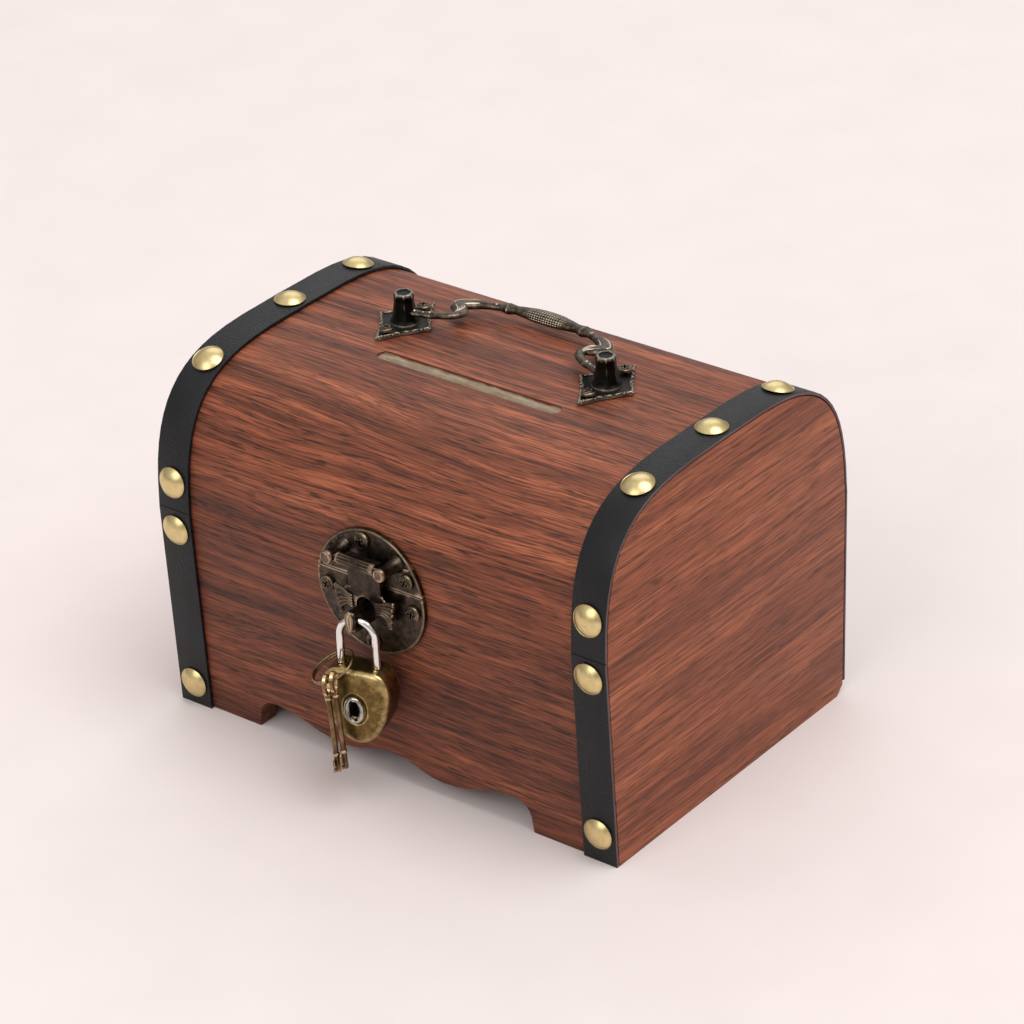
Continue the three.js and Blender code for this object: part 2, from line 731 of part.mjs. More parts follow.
function keyRing() {
  const torus = new THREE.TorusGeometry(ringRadius, ringWire, 6, 32);
  const facing = new THREE.Vector3().crossVectors(ringDown, ringAcross);
  const matrix = new THREE.Matrix4().makeBasis(ringDown, ringAcross, facing).setPosition(ringMiddle);
  return solid(torus.applyMatrix4(matrix));
}

// a key hanging from the origin, its bow seen edge-on from the front
function keySolid() {
  const bowMiddle = keyWireDrop - keyBowHigh / 2;
  const bow = new THREE.Shape();
  bow.absellipse(0, bowMiddle, keyBowHalf, keyBowHigh / 2, 0, 2 * Math.PI, false, 0);
  const eye = new THREE.Path();
  const eyeMiddle = keyWireDrop - keyEyeHigh / 2 - keyRim;
  eye.absellipse(0, eyeMiddle, keyEyeHalf, keyEyeHigh / 2, 0, 2 * Math.PI, true, 0);
  bow.holes.push(eye);
  const head = prismX(bow, -keyBowThick / 2, keyBowThick / 2);
  const shaftTop = keyWireDrop - keyBowHigh + 0.5;
  const shaftLow = shaftTop - keyShaftLong;
  const shaft = rodZ(keyShaftRadius, shaftLow, shaftTop, 0, 0, 10);
  const collar = rodZ(keyCollarRadius, shaftTop - 1.4, shaftTop - 0.4, 0, 0, 10);
  const lowZ = shaftLow + keyBitLong + 1;
  const lowCollar = rodZ(keyCollarRadius, lowZ, lowZ + 1, 0, 0, 10);
  const bit = box([-0.4, -keyBitOut, shaftLow + 0.6], [0.4, 0, shaftLow + keyBitLong]);
  return joined(head, shaft, collar, lowCollar, bit);
}

// ---------- scene graph ----------
function add(parent, name, geometry, material) {
  const mesh = new THREE.Mesh(geometry, material);
  mesh.name = name;
  parent.add(mesh);
  return mesh;
}

function addSolid(parent, name, shape, material) {
  return add(parent, name, geometryOf(shape), material);
}

function addSeated(parent, spots, geometry, material) {
  for (const spot of spots) {
    const mesh = add(parent, spot.name, geometry, material);
    mesh.position.set(spot.x, spot.y, spot.z);
    mesh.rotation.x = spot.tilt - Math.PI / 2;
  }
}

function buildCase(parent) {
  addSolid(parent, 'front_panel', frontPanel(), wood);
  addSolid(parent, 'back_panel', backPanel(), wood);
  addSolid(parent, 'left_end_panel', endPanel(-1), wood);
  addSolid(parent, 'right_end_panel', endPanel(1), wood);
  addSolid(parent, 'bottom_panel', bottomPanel(), wood);
}

function buildLid(parent) {
  addSolid(parent, 'lid_skin', lidSkin(), wood);
  addSolid(parent, 'lid_left_end', lidEnd(-1), wood);
  addSolid(parent, 'lid_right_end', lidEnd(1), wood);
}

function buildStraps(parent) {
  for (const [name, side] of [['left', -1], ['right', 1]]) {
    addSolid(parent, `${name}_front_strap`, caseStrap(side, 'front'), leather);
    addSolid(parent, `${name}_lid_strap`, lidStrap(side), leather);
    addSolid(parent, `${name}_back_strap`, caseStrap(side, 'back'), leather);
  }
  addSeated(parent, nails, nailGeometry(), paleBrass);
}

function buildHinges(parent) {
  for (const [name, side] of [['left', -1], ['right', 1]]) {
    addSolid(parent, `${name}_hinge_case_leaf`, hingeLower(side * hingeX), bronze);
    addSolid(parent, `${name}_hinge_lid_leaf`, hingeUpper(side * hingeX), bronze);
  }
}

function buildHandle(parent) {
  addSolid(parent, 'left_handle_bracket', handleBracket(-1), bronze);
  addSolid(parent, 'right_handle_bracket', handleBracket(1), bronze);
  addSolid(parent, 'handle_bail', bail(), bronze);
}

function buildHasp(parent) {
  addSolid(parent, 'hasp_upper_plate', haspUpperPlate(), bronze);
  addSolid(parent, 'hasp_pin', haspPin(), bronze);
  addSolid(parent, 'hasp_leaf', haspLeaf(), bronze);
  addSolid(parent, 'hasp_lower_plate', haspLowerPlate(), bronze);
  addSeated(parent, screws, screwGeometry(), bronze);
}

function buildPadlock(parent) {
  const padlock = new THREE.Group();
  padlock.position.set(fittingX, padlockY, padlockZ);
  padlock.rotation.z = padlockTurn;
  parent.add(padlock);
  addSolid(padlock, 'padlock_shackle', shackle(), chrome);
  addSolid(padlock, 'padlock_body', lockBody(), lockBrass);
  addSolid(padlock, 'padlock_plug', lockPlug(), chrome);
  addSolid(padlock, 'padlock_collar', lockCollar(), chrome);
  addSolid(padlock, 'key_ring', keyRing(), keyBrass);
  const key = geometryOf(keySolid());
  keyAngles.forEach((degrees, i) => {
    const mesh = add(padlock, `key_${i + 1}`, key, keyBrass);
    mesh.position.copy(ringPoint(degrees));
    mesh.rotation.y = keyLean;
  });
}

// the origin is under the middle of the whole object's box
function centred(group) {
  const bounds = new THREE.Box3().setFromObject(group, true);
  const middle = bounds.getCenter(new THREE.Vector3());
  group.position.set(-middle.x, -middle.y, -bounds.min.z);
  return group;
}

const moneyBox = new THREE.Group();
buildCase(moneyBox);
buildLid(moneyBox);
buildStraps(moneyBox);
buildHinges(moneyBox);
buildHandle(moneyBox);
buildHasp(moneyBox);
buildPadlock(moneyBox);

export default centred(moneyBox);
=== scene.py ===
# The looks of a small wooden money box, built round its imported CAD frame.
# Shapes are drawn in millimetres in the CAD model's frame, and become metres when a piece is made.
import json
from math import asin, atan2, copysign, cos, hypot, pi, radians, sin

import bmesh
import bpy
import numpy as np
from mathutils import Matrix, Vector
from mathutils.bvhtree import BVHTree


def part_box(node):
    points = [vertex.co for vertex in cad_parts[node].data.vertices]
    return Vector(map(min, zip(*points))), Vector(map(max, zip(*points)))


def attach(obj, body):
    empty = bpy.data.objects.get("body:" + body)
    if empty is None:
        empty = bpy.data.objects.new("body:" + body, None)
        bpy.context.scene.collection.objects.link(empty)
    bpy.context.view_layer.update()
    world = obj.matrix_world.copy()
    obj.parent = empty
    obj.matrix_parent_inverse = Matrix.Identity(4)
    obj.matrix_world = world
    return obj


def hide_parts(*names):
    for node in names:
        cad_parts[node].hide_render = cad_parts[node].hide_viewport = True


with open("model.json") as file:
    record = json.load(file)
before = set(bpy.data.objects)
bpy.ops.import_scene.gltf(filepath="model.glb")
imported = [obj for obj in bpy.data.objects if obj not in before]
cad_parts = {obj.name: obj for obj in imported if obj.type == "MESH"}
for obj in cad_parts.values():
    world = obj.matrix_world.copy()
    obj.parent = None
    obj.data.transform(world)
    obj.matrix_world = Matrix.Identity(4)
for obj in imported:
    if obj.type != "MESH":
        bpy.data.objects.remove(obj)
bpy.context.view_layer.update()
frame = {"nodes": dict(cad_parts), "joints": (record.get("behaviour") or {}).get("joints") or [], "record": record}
scene = bpy.context.scene

MM = 0.001
TAU = 2 * pi

# camera: angles in degrees, distance and aim in millimetres from the middle of the case's foot
CAMERA_AZIMUTH = 39.207
CAMERA_ELEVATION = 29.145
CAMERA_ROLL = -2.853
CAMERA_DISTANCE = 1305.48
CAMERA_LENS = 147.44
CAMERA_SENSOR = 36
AIM_RIGHT = -0.0103
AIM_UP = 56.653

# hardware sizes in millimetres
NAIL_RADIUS = 5
NAIL_RISE = 2.1
NAIL_SHANK = (0.7, 8)  # radius and length
CAD_SCREW_RISE = 1.3
HASP_SCREW = (2.5, 1.3)  # head radius and rise
HANDLE_SCREW = (2.15, 1.15)
SCREW_SHANK = (0.8, 5)
CROSS_HALF = 0.32  # half the width of a screw's cross recess
SCREW_TURN = 0.9  # radians from each screw's recess to the next one's
HINGE_GAP = 0.3
HINGE_THICK = 1.0
HINGE_SCREW_IN = 4

# how meshes are made, in millimetres and degrees
WELD = 0.002
FLAT_ANGLE = 0.6
SEAM_REACH = 0.25  # how far from the joint of case and lid a rim still belongs to it
METAL_GRID = 1.0
SPAN_STEPS = 12  # fine steps of a smooth path between two given points

# rounded edges: width of the round in millimetres, least angle in degrees, least length of an edge
WOOD_ROUND = (0.45, 28, 1.0)
STRAP_ROUND = (0.3, 28, 1.0)
PLATE_ROUND = (0.2, 35, 1.2)
LEAF_ROUND = (0.2, 35, 1.0)
KEY_ROUND = (0.12, 40, 0.5)
HINGE_ROUND = (0.15, 35, 0.8)


# ---------- places read from the frame, in millimetres ----------
def low(node):
    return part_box(node)[0] / MM


def high(node):
    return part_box(node)[1] / MM


def middle(node):
    return (low(node) + high(node)) / 2


FOOT = Vector((0, middle("left_end_panel").y, 0))
HASP_X = middle("hasp_pin").x
SEAM_Z = (high("front_panel").z + low("lid_skin").z) / 2


def joint_named(name):
    return next(joint for joint in frame["joints"] if joint["name"] == name)


def joint_place(name):
    return Vector(joint_named(name)["pos_m"]) / MM


def joint_axis(name):
    return Vector(joint_named(name)["axis"]).normalized()


def rows_of(items, field, width=3, kind=float):
    """A mesh's vertices or edges as an array, one row each."""
    values = np.empty(len(items) * width, kind)
    items.foreach_get(field, values)
    return values.reshape(-1, width)


def node_points(node):
    return rows_of(frame["nodes"][node].data.vertices, "co") / MM


def seat_of(node, rise):
    """A frame on the turning axis of a nail or screw: origin under its head, +Z out of the surface."""
    points = node_points(node)
    centre = points.mean(0)
    spreads, axes = np.linalg.eigh(np.cov((points - centre).T))
    axis = axes[:, 2] if spreads[2] - spreads[1] > spreads[1] - spreads[0] else axes[:, 0]
    along = (points - centre) @ axis
    out = np.linalg.norm(points - centre - np.outer(along, axis), axis=1)
    head_edge = out > out.max() * 0.95
    if along[head_edge].mean() < 0:
        axis, along = -axis, -along
    origin = Vector(centre) + Vector(axis) * (along.max() - rise)
    turn = Vector(axis).to_track_quat("Z", "Y").to_matrix().to_4x4()
    return Matrix.Translation(origin) @ turn


# ---------- shapes: lists of points and faces ----------
def ring_faces(below, above):
    sides = max(len(below), len(above))
    faces = []
    for k in range(sides):
        corners = [below[k % len(below)], below[(k + 1) % len(below)]]
        corners += [above[(k + 1) % len(above)], above[k % len(above)]]
        face = list(dict.fromkeys(corners))
        if len(face) > 2:
            faces.append(face)
    return faces


def loft(rings, start=None, end=None, closed=False):
    """Skin over rings of points. It ends in a point, if given, or a flat face, or closes on itself."""
    points, faces, numbered = [], [], []
    for ring in ([[start]] if start else []) + rings + ([[end]] if end else []):
        numbered.append(range(len(points), len(points) + len(ring)))
        points += ring
    pairs = list(zip(numbered, numbered[1:]))
    if closed:
        pairs.append((numbered[-1], numbered[0]))
    for first, second in pairs:
        faces += ring_faces(first, second)
    if not start and not closed:
        faces.append(numbered[0][::-1])
    if not end and not closed:
        faces.append(numbered[-1])
    return points, faces


def circle(radius, sides):
    return [(radius * cos(TAU * k / sides), radius * sin(TAU * k / sides)) for k in range(sides)]


def lathe(profile, sides):
    """A solid of revolution about +Z from (radius, height) pairs that begin and end on the axis."""
    rings = [[Vector((x, y, height)) for x, y in circle(radius, sides)] for radius, height in profile[1:-1]]
    return loft(rings, *(Vector((0, 0, height)) for _, height in (profile[0], profile[-1])))


def slab(outline, bottom, top):
    """An (x, y) outline pushed from bottom to top along Z."""
    return loft([[Vector((x, y, z)) for x, y in outline] for z in (bottom, top)])


def smooth_path(points, count):
    """Evenly spread points on a Catmull-Rom curve through the given ones."""
    knots = [Vector(p) for p in points]
    spans = len(knots) - 1
    fine = []
    for i in range(spans * SPAN_STEPS + 1):
        span = min(i // SPAN_STEPS, spans - 1)
        t = i / SPAN_STEPS - span
        a, b, c, d = (knots[min(max(span + k, 0), spans)] for k in (-1, 0, 1, 2))
        fine.append(0.5 * (2 * b + (c - a) * t + (2 * a - 5 * b + 4 * c - d) * t**2
                           + (3 * b - a - 3 * c + d) * t**3))
    lengths = [0.0]
    for p, q in zip(fine, fine[1:]):
        lengths.append(lengths[-1] + (q - p).length)
    wanted = np.linspace(0, lengths[-1], count)
    return [Vector([np.interp(w, lengths, [p[k] for p in fine]) for k in range(3)]) for w in wanted]


def sweep(path, section, sizes=None, up=(0, 0, 1), closed=False):
    """A bar along the path. The section's pairs run across the path and along up; sizes scale them."""
    rings = []
    last = len(path) - 1
    for i, spot in enumerate(path):
        before = path[i - 1] if closed or i else path[i]
        after = path[(i + 1) % len(path)] if closed else path[min(i + 1, last)]
        ahead = (after - before).normalized()
        across = ahead.cross(Vector(up)).normalized()
        rise = across.cross(ahead)
        wide, tall = sizes[i] if sizes else (1, 1)
        rings.append([spot + across * (a * wide) + rise * (b * tall) for a, b in section])
    return loft(rings, closed=closed)


def bead(centre, radius, squash=(1, 1, 1)):
    """A ball whose X, Y and Z sizes are multiplied by squash."""
    rings = 7
    profile = [(0, -radius)]
    for i in range(1, rings):
        turn = pi * i / rings - pi / 2
        profile.append((radius * cos(turn), radius * sin(turn)))
    profile.append((0, radius))
    points, faces = lathe(profile, 2 * rings)
    return [Vector(centre) + Vector([a * b for a, b in zip(p, squash)]) for p in points], faces


def moved(shape, matrix):
    points, faces = shape
    return [matrix @ p for p in points], faces


def cad_shape(node, close_seam=0.0):
    """The CAD node's own surface, in millimetres, with flat facets joined into whole faces.
    close_seam brings the rims of the case and the lid that much nearer to the joint between them."""
    bm = bmesh.new()
    bm.from_mesh(frame["nodes"][node].data)
    bmesh.ops.scale(bm, vec=(1 / MM,) * 3, verts=bm.verts)
    bmesh.ops.remove_doubles(bm, verts=bm.verts, dist=WELD)
    bmesh.ops.dissolve_limit(bm, angle_limit=radians(FLAT_ANGLE), verts=bm.verts, edges=bm.edges)
    for vert in bm.verts:
        if abs(vert.co.z - SEAM_Z) < SEAM_REACH:
            vert.co.z += copysign(close_seam, SEAM_Z - vert.co.z)
    bm.verts.index_update()
    shape = [v.co.copy() for v in bm.verts], [[v.index for v in f.verts] for f in bm.faces]
    bm.free()
    return shape


# ---------- pieces ----------
def on_seam(edge):
    return all(abs(v.co.z - SEAM_Z) < SEAM_REACH for v in edge.verts)


def bevelled(bm, width, angle, shortest):
    sharp = [
        e for e in bm.edges
        if len(e.link_faces) == 2 and e.calc_face_angle() > radians(angle)
        and e.calc_length() > shortest and not on_seam(e)
    ]
    bmesh.ops.bevel(bm, geom=sharp, offset=width, segments=2, profile=0.6, affect="EDGES",
                    clamp_overlap=True)


def grid_cut(bm, spacing):
    """Cuts broad faces along a grid, so that the wear of their edges fades within one spacing."""
    largest = spacing**2 * 1.5
    bmesh.ops.triangulate(bm, faces=[face for face in bm.faces if face.calc_area() > largest])
    for axis in range(3):
        across = Vector((0, 0, 0))
        across[axis] = 1
        reach = [v.co[axis] for face in bm.faces if face.calc_area() > largest for v in face.verts]
        for i in range(int((max(reach, default=0) - min(reach, default=0)) / spacing)):
            faces = [face for face in bm.faces if face.calc_area() > largest]
            edges = list(dict.fromkeys(edge for face in faces for edge in face.edges))
            verts = list(dict.fromkeys(vert for face in faces for vert in face.verts))
            spot = across * (min(reach) + (i + 0.5) * spacing)
            bmesh.ops.bisect_plane(bm, geom=faces + edges + verts, plane_co=spot, plane_no=across)


def solid_mesh(name, shapes, bevel=None, smooth=35, spacing=0):
    """One mesh from shapes in millimetres."""
    bm = bmesh.new()
    for points, faces in shapes:
        verts = [bm.verts.new(p) for p in points]
        for face in faces:
            bm.faces.new([verts[k] for k in face])
    bmesh.ops.recalc_face_normals(bm, faces=bm.faces)
    if bevel:
        bevelled(bm, *bevel)
    if spacing:
        grid_cut(bm, spacing)
    bmesh.ops.scale(bm, vec=(MM,) * 3, verts=bm.verts)
    mesh = bpy.data.meshes.new(name)
    bm.to_mesh(mesh)
    bm.free()
    mesh.shade_smooth()
    mesh.set_sharp_from_angle(angle=radians(smooth))
    return mesh


def wear_attribute(mesh):
    """How far each vertex stands out of its neighbours: above 0 on raised edges, below 0 in hollows."""
    places = rows_of(mesh.vertices, "co")
    normals = rows_of(mesh.vertices, "normal")
    ends = rows_of(mesh.edges, "vertices", 2, np.int32)
    reach = places[ends[:, 1]] - places[ends[:, 0]]
    length = np.maximum(np.linalg.norm(reach, axis=1), 1e-9)[:, None]
    total, links = np.zeros(len(places)), np.zeros(len(places))
    for here, sign in ((0, 1), (1, -1)):
        bend = -(sign * reach / length * normals[ends[:, here]]).sum(1)
        np.add.at(total, ends[:, here], bend)
        np.add.at(links, ends[:, here], 1)
    wear = mesh.attributes.new("wear", "FLOAT", "POINT")
    wear.data.foreach_set("value", (total / np.maximum(links, 1)).astype(np.float32))


def new_object(name, data):
    made = bpy.data.objects.new(name, data)
    scene.collection.objects.link(made)
    return made


def place(name, mesh, body, nodes, materials):
    piece = new_object(name, mesh)
    if not mesh.materials:
        for material in materials:
            mesh.materials.append(material)
        wear_attribute(mesh)
    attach(piece, body)
    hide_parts(*nodes)
    return piece


def body_of(node):
    bodies = frame["record"]["behaviour"]["bodies"]
    return next(body for body, members in bodies.items() if node in members)


def stand_in(node, mesh, materials):
    """A piece in the place of one CAD node."""
    return place(node + "_detail", mesh, body_of(node), [node], materials)


def detailed(node, shapes, materials, bevel=None, smooth=35, spacing=0):
    """A piece made from shapes, in the place of one CAD node."""
    return stand_in(node, solid_mesh(node + "_detail", shapes, bevel, smooth, spacing), materials)


# ---------- material nodes ----------
class Nodes:
    """Short calls for building the nodes of a new material, or of a world."""

    def __init__(self, name, world=None):
        self.owner = world or bpy.data.materials.new(name)
        self.owner.use_nodes = True
        self.tree = self.owner.node_tree
        self.place = self.node("TexCoord", {}, "Generated" if world else "Object")

    def link(self, source, target):
        """Feeds an output, a number, a vector or a colour of three numbers into a socket."""
        if isinstance(source, tuple) and target.type == "RGBA":
            target.default_value = (*source, 1)
        elif isinstance(source, (int, float, tuple)):
            target.default_value = source
        else:
            self.tree.links.new(source, target)

    def node(self, kind, inputs, output=0, **settings):
        """Adds a node, feeds its inputs by name or place, and returns one output."""
        made = self.tree.nodes.new("ShaderNode" + kind)
        for key, value in settings.items():
            setattr(made, key, value)
        for key, value in inputs.items():
            self.link(value, made.inputs[key])
        return made.outputs[output]

    def height(self):
        """How high a point lies in its piece, in metres, or a ray points in a world."""
        return self.node("SeparateXYZ", {0: self.place}, 2)

    def stretched(self, source, scale):
        return self.node("Mapping", {"Vector": source, "Scale": scale})

    def moved(self, vector, offset):
        return self.node("VectorMath", {0: vector, 1: offset}, operation="ADD")

    def joined(self, x, y, z):
        return self.node("CombineXYZ", {0: x, 1: y, 2: z})

    def noise(self, vector, scale, detail, roughness):
        """Noise with about scale patches to the metre, detail finer layers and their strength."""
        inputs = {"Vector": vector, "Scale": scale, "Detail": detail, "Roughness": roughness}
        return self.node("TexNoise", inputs, "Fac")

    def cells(self, vector, scale):
        return self.node("TexVoronoi", {"Vector": vector, "Scale": scale}, "Distance")

    def math(self, operation, a, b, clamp=False):
        return self.node("Math", {0: a, 1: b}, operation=operation, use_clamp=clamp)

    def mix(self, factor, a, b, blend="MIX"):
        """Its colours are the Mix node's sockets 6 and 7, and its result is output 2."""
        return self.node("Mix", {0: factor, 6: a, 7: b}, 2, data_type="RGBA", blend_type=blend)

    def bump(self, height, strength, distance):
        """Relief from a height, with distance in millimetres."""
        return self.node("Bump", {"Height": height, "Strength": strength, "Distance": distance * MM})

    def ramp(self, source, *stops):
        """Turns a number into a colour or a grey by (position, colour or grey) stops."""
        made = self.tree.nodes.new("ShaderNodeValToRGB")
        elements = made.color_ramp.elements
        while len(elements) < len(stops):
            elements.new(0.5)
        for element, (position, colour) in zip(elements, stops):
            element.position = position
            element.color = (*colour, 1) if isinstance(colour, tuple) else (colour, colour, colour, 1)
        self.link(source, made.inputs["Fac"])
        return made.outputs["Color"]

    def fill(self, shader, inputs):
        for key, value in inputs.items():
            self.link(value, self.tree.nodes[shader].inputs[key])
        return self.owner

    def finish(self, colour, roughness, normal, **fixed):
        inputs = {"Base Color": colour, "Roughness": roughness, "Normal": normal}
        inputs.update((key.replace("_", " "), value) for key, value in fixed.items())
        return self.fill("Principled BSDF", inputs)


PAINTED_SHADE_HEIGHT = 1 / 8  # metres of height that count as 1 on the ramp of the shade painted on the wood
STAIN_DEPTH = 1 / 300  # and metres of depth on the ramp of the stain down the slot's walls


def linear(tone):
    """An sRGB tone, 0 to 255 each, as Blender's linear colour."""
    shares = [value / 255 for value in tone]
    return tuple(v / 12.92 if v <= 0.04045 else ((v + 0.055) / 1.055) ** 2.4 for v in shares)


def wood_material(name, grain, tones, seed, figure=1.0, low_painted_shade=1.0, contrast=1.0):
    """Stained wood with its grain along X or Y: broad bands, long fibres and short dark pores.
    figure is how far the grain wavers, the low shade sets how much a painted shade darkens the wood below the
    lid's curve, and contrast sets how strongly the streaks show."""
    n = Nodes(name)
    light, mid, dark, deep = map(linear, tones)

    def streaky(source, share, *settings):
        """Noise drawn out along the grain, where it has share of the scale it has across."""
        stretch = (share, 1, 1) if grain == "x" else (1, share, 1)
        return n.noise(n.stretched(source, stretch), *settings)

    def centred(source):
        return n.math("SUBTRACT", source, 0.5)

    start = n.moved(n.place, tuple(seed * step for step in (0.37, 0.23, 0.11)))
    bend = n.math("MULTIPLY", centred(streaky(start, 0.3, 24, 2, 0.5)), 0.009 * figure)
    waver = n.math("MULTIPLY", centred(streaky(start, 0.25, 120, 2, 0.5)), 0.0009)
    drift = n.math("ADD", bend, waver)
    base = n.moved(start, n.joined(0 if grain == "x" else drift, drift if grain == "x" else 0, drift))
    bands = streaky(base, 0.05, 125, 3, 0.6)
    streaks = streaky(base, 0.02, 720, 2, 0.6)
    fibres = streaky(base, 0.022, 1900, 2, 0.65)
    pores = streaky(base, 0.06, 2100, 1, 0.5)
    patches = streaky(base, 0.2, 75, 3, 0.6)
    colour = n.ramp(bands, (0.36, dark), (0.52, mid), (0.68, light))
    colour = n.mix(n.ramp(patches, (0.52, 0.0), (0.68, 0.4)), colour, dark)
    for source, *stops in ((streaks, (0.34, 0.68), (0.5, 1.0), (0.66, 1.2)),
                           (fibres, (0.34, 0.46), (0.5, 1.0), (0.63, 1.42))):
        colour = n.mix(contrast, colour, n.ramp(source, *stops), "MULTIPLY")
    pore = n.ramp(pores, (0.56, 0.0), (0.64, contrast))
    colour = n.mix(n.math("MULTIPLY", pore, n.ramp(streaks, (0.35, 0.9), (0.65, 0.35))), colour, deep)
    # painted shade: the wood grows darker towards the bottom of the box, below the lid's curve
    painted_shade = n.ramp(n.math("MULTIPLY", n.height(), 1 / PAINTED_SHADE_HEIGHT), (0.5, low_painted_shade), (0.8, 1.0))
    colour = n.mix(1.0, colour, painted_shade, "MULTIPLY")
    relief = n.math("SUBTRACT", n.math("MULTIPLY", fibres, 0.7), n.math("MULTIPLY", pore, 0.6))
    rough = n.math("ADD", 0.46, n.math("MULTIPLY", fibres, 0.2))
    return n.finish(colour, rough, n.bump(relief, 0.3, 0.1), Specular_IOR_Level=0.3)


def raw_wood_material():
    """Bare pale wood where the slot was cut, stained again along its upper edge."""
    n = Nodes("raw_wood")
    fibre = n.noise(n.stretched(n.place, (0.2, 1, 1)), 900, 3, 0.6)
    ragged = n.noise(n.stretched(n.place, (0.3, 1, 1)), 500, 3, 0.6)
    colour = n.ramp(fibre, (0.35, linear((206, 182, 152))), (0.65, linear((240, 222, 196))))
    depth = n.math("SUBTRACT", high("lid_skin").z * MM, n.height())
    depth = n.math("ADD", depth, n.math("MULTIPLY", n.math("SUBTRACT", ragged, 0.5), 0.0016))
    stain = n.ramp(n.math("MULTIPLY", depth, 1 / STAIN_DEPTH), (0.2, 1.0), (0.5, 0.0))
    colour = n.mix(stain, colour, linear((112, 58, 40)))
    return n.finish(colour, 0.8, n.bump(fibre, 0.5, 0.15))


def leather_material(name, tone, rough):
    """Finished leather with a fine pebbled grain and faint creases."""
    n = Nodes(name)
    tone = linear(tone)
    pebble = n.cells(n.place, 1900)
    crease = n.noise(n.place, 700, 4, 0.65)
    cloud = n.noise(n.place, 60, 3, 0.5)
    light = tuple(min(1, c * 1.5 + 0.002) for c in tone)
    colour = n.mix(n.ramp(cloud, (0.35, 0.0), (0.75, 1.0)), tone, light)
    smooth = n.ramp(n.noise(n.place, 24, 2, 0.5), (0.4, 0.45), (0.58, 1.0))
    relief = n.math("ADD", pebble, n.math("MULTIPLY", crease, 0.7))
    relief = n.math("MULTIPLY", relief, smooth)
    roughness = n.math("ADD", rough, n.math("MULTIPLY", crease, 0.2))
    return n.finish(colour, roughness, n.bump(relief, 0.8, 0.2), Specular_IOR_Level=0.3)


def worn_metal(name, deep, body, worn, rough, wear_range, mottling=0.5, relief=0.05):
    """Antiqued metal: deep in the hollows, mottled on the flats and worn bright on rubbed edges. On the padlock's
    collar these tones are painted reflections instead, dark in the hollows and bright on the edges, and on the
    bail the bright edges are partly painted highlights.
    """
    n = Nodes(name)
    deep, body, worn = map(linear, (deep, body, worn))
    wear = n.node("Attribute", {}, "Fac", attribute_name="wear")
    cloud = n.noise(n.place, 420, 5, 0.62)
    speck = n.noise(n.place, 1900, 3, 0.6)
    stain = n.math("ADD", n.math("MULTIPLY", cloud, 0.7), n.math("MULTIPLY", speck, 0.3))
    colour = n.mix(n.ramp(stain, (0.5 - mottling * 0.3, 1.0), (0.5 + mottling * 0.3, 0.0)), body, deep)
    hollow = n.ramp(n.math("MULTIPLY", wear, -1.0), (0.01, 0.0), (0.14, 0.85))
    colour = n.mix(hollow, colour, deep)
    rubbed = n.math("ADD", wear, n.math("MULTIPLY", n.math("SUBTRACT", cloud, 0.5), 0.16))
    edge = n.ramp(rubbed, *zip(wear_range, (0.0, 1.0)))
    colour = n.mix(edge, colour, worn)
    roughness = n.math("ADD", rough - 0.1, n.math("MULTIPLY", stain, 0.25))
    roughness = n.math("SUBTRACT", roughness, n.math("MULTIPLY", edge, 0.12), clamp=True)
    return n.finish(colour, roughness, n.bump(stain, 0.3, relief), Metallic=1.0)


def polished_metal(name, tone, rough):
    n = Nodes(name)
    tone = linear(tone)
    smear = n.noise(n.place, 260, 4, 0.6)
    colour = n.mix(n.ramp(smear, (0.4, 0.0), (0.7, 0.35)), tone, tuple(c * 0.8 for c in tone))
    roughness = n.math("ADD", rough, n.math("MULTIPLY", smear, rough * 1.2))
    return n.finish(colour, roughness, n.bump(smear, 0.08, 0.05), Metallic=1.0)


LONG_TONES = ((154, 88, 60), (131, 71, 48), (98, 53, 37), (46, 26, 19))
END_TONES = ((160, 93, 63), (150, 85, 58), (128, 70, 48), (72, 40, 29))
long_wood = wood_material("stained_wood", "x", LONG_TONES, seed=1, low_painted_shade=0.7)
end_wood = wood_material("stained_wood_end", "y", END_TONES, seed=3, figure=0.25, contrast=0.8)
raw_wood = raw_wood_material()
strap_leather = leather_material("strap_leather", (14, 14, 18), 0.34)
strap_edge = leather_material("strap_cut_edge", (92, 76, 76), 0.75)
chrome = polished_metal("bright_chrome", (236, 234, 230), 0.06)
# the plug is coloured near-black as painted shade of the recess inside the collar
plug_painted_shade = polished_metal("plug_painted_shade", (22, 20, 18), 0.4)

# tones in the hollows, on the flats and on rubbed edges (painted reflections on the collar), roughness, the wear's
# range, then mottling
bronze = worn_metal("antique_bronze", (44, 38, 33), (112, 99, 86), (178, 160, 138), 0.38, (0.1, 0.4))
dark_bronze = worn_metal("blackened_bronze", (38, 33, 29), (94, 83, 72), (182, 162, 134), 0.34, (0.08, 0.34))
cap_bronze = worn_metal("rubbed_bronze", (82, 68, 60), (128, 107, 91), (172, 148, 124),
                         0.34, (0.06, 0.3), 0.3)
leaf_bronze = worn_metal("leaf_bronze", (40, 34, 30), (80, 68, 60), (168, 146, 122), 0.34, (0.08, 0.35))
screw_bronze = worn_metal("screw_bronze", (38, 33, 29), (92, 80, 68), (186, 164, 134), 0.3, (0.05, 0.25))
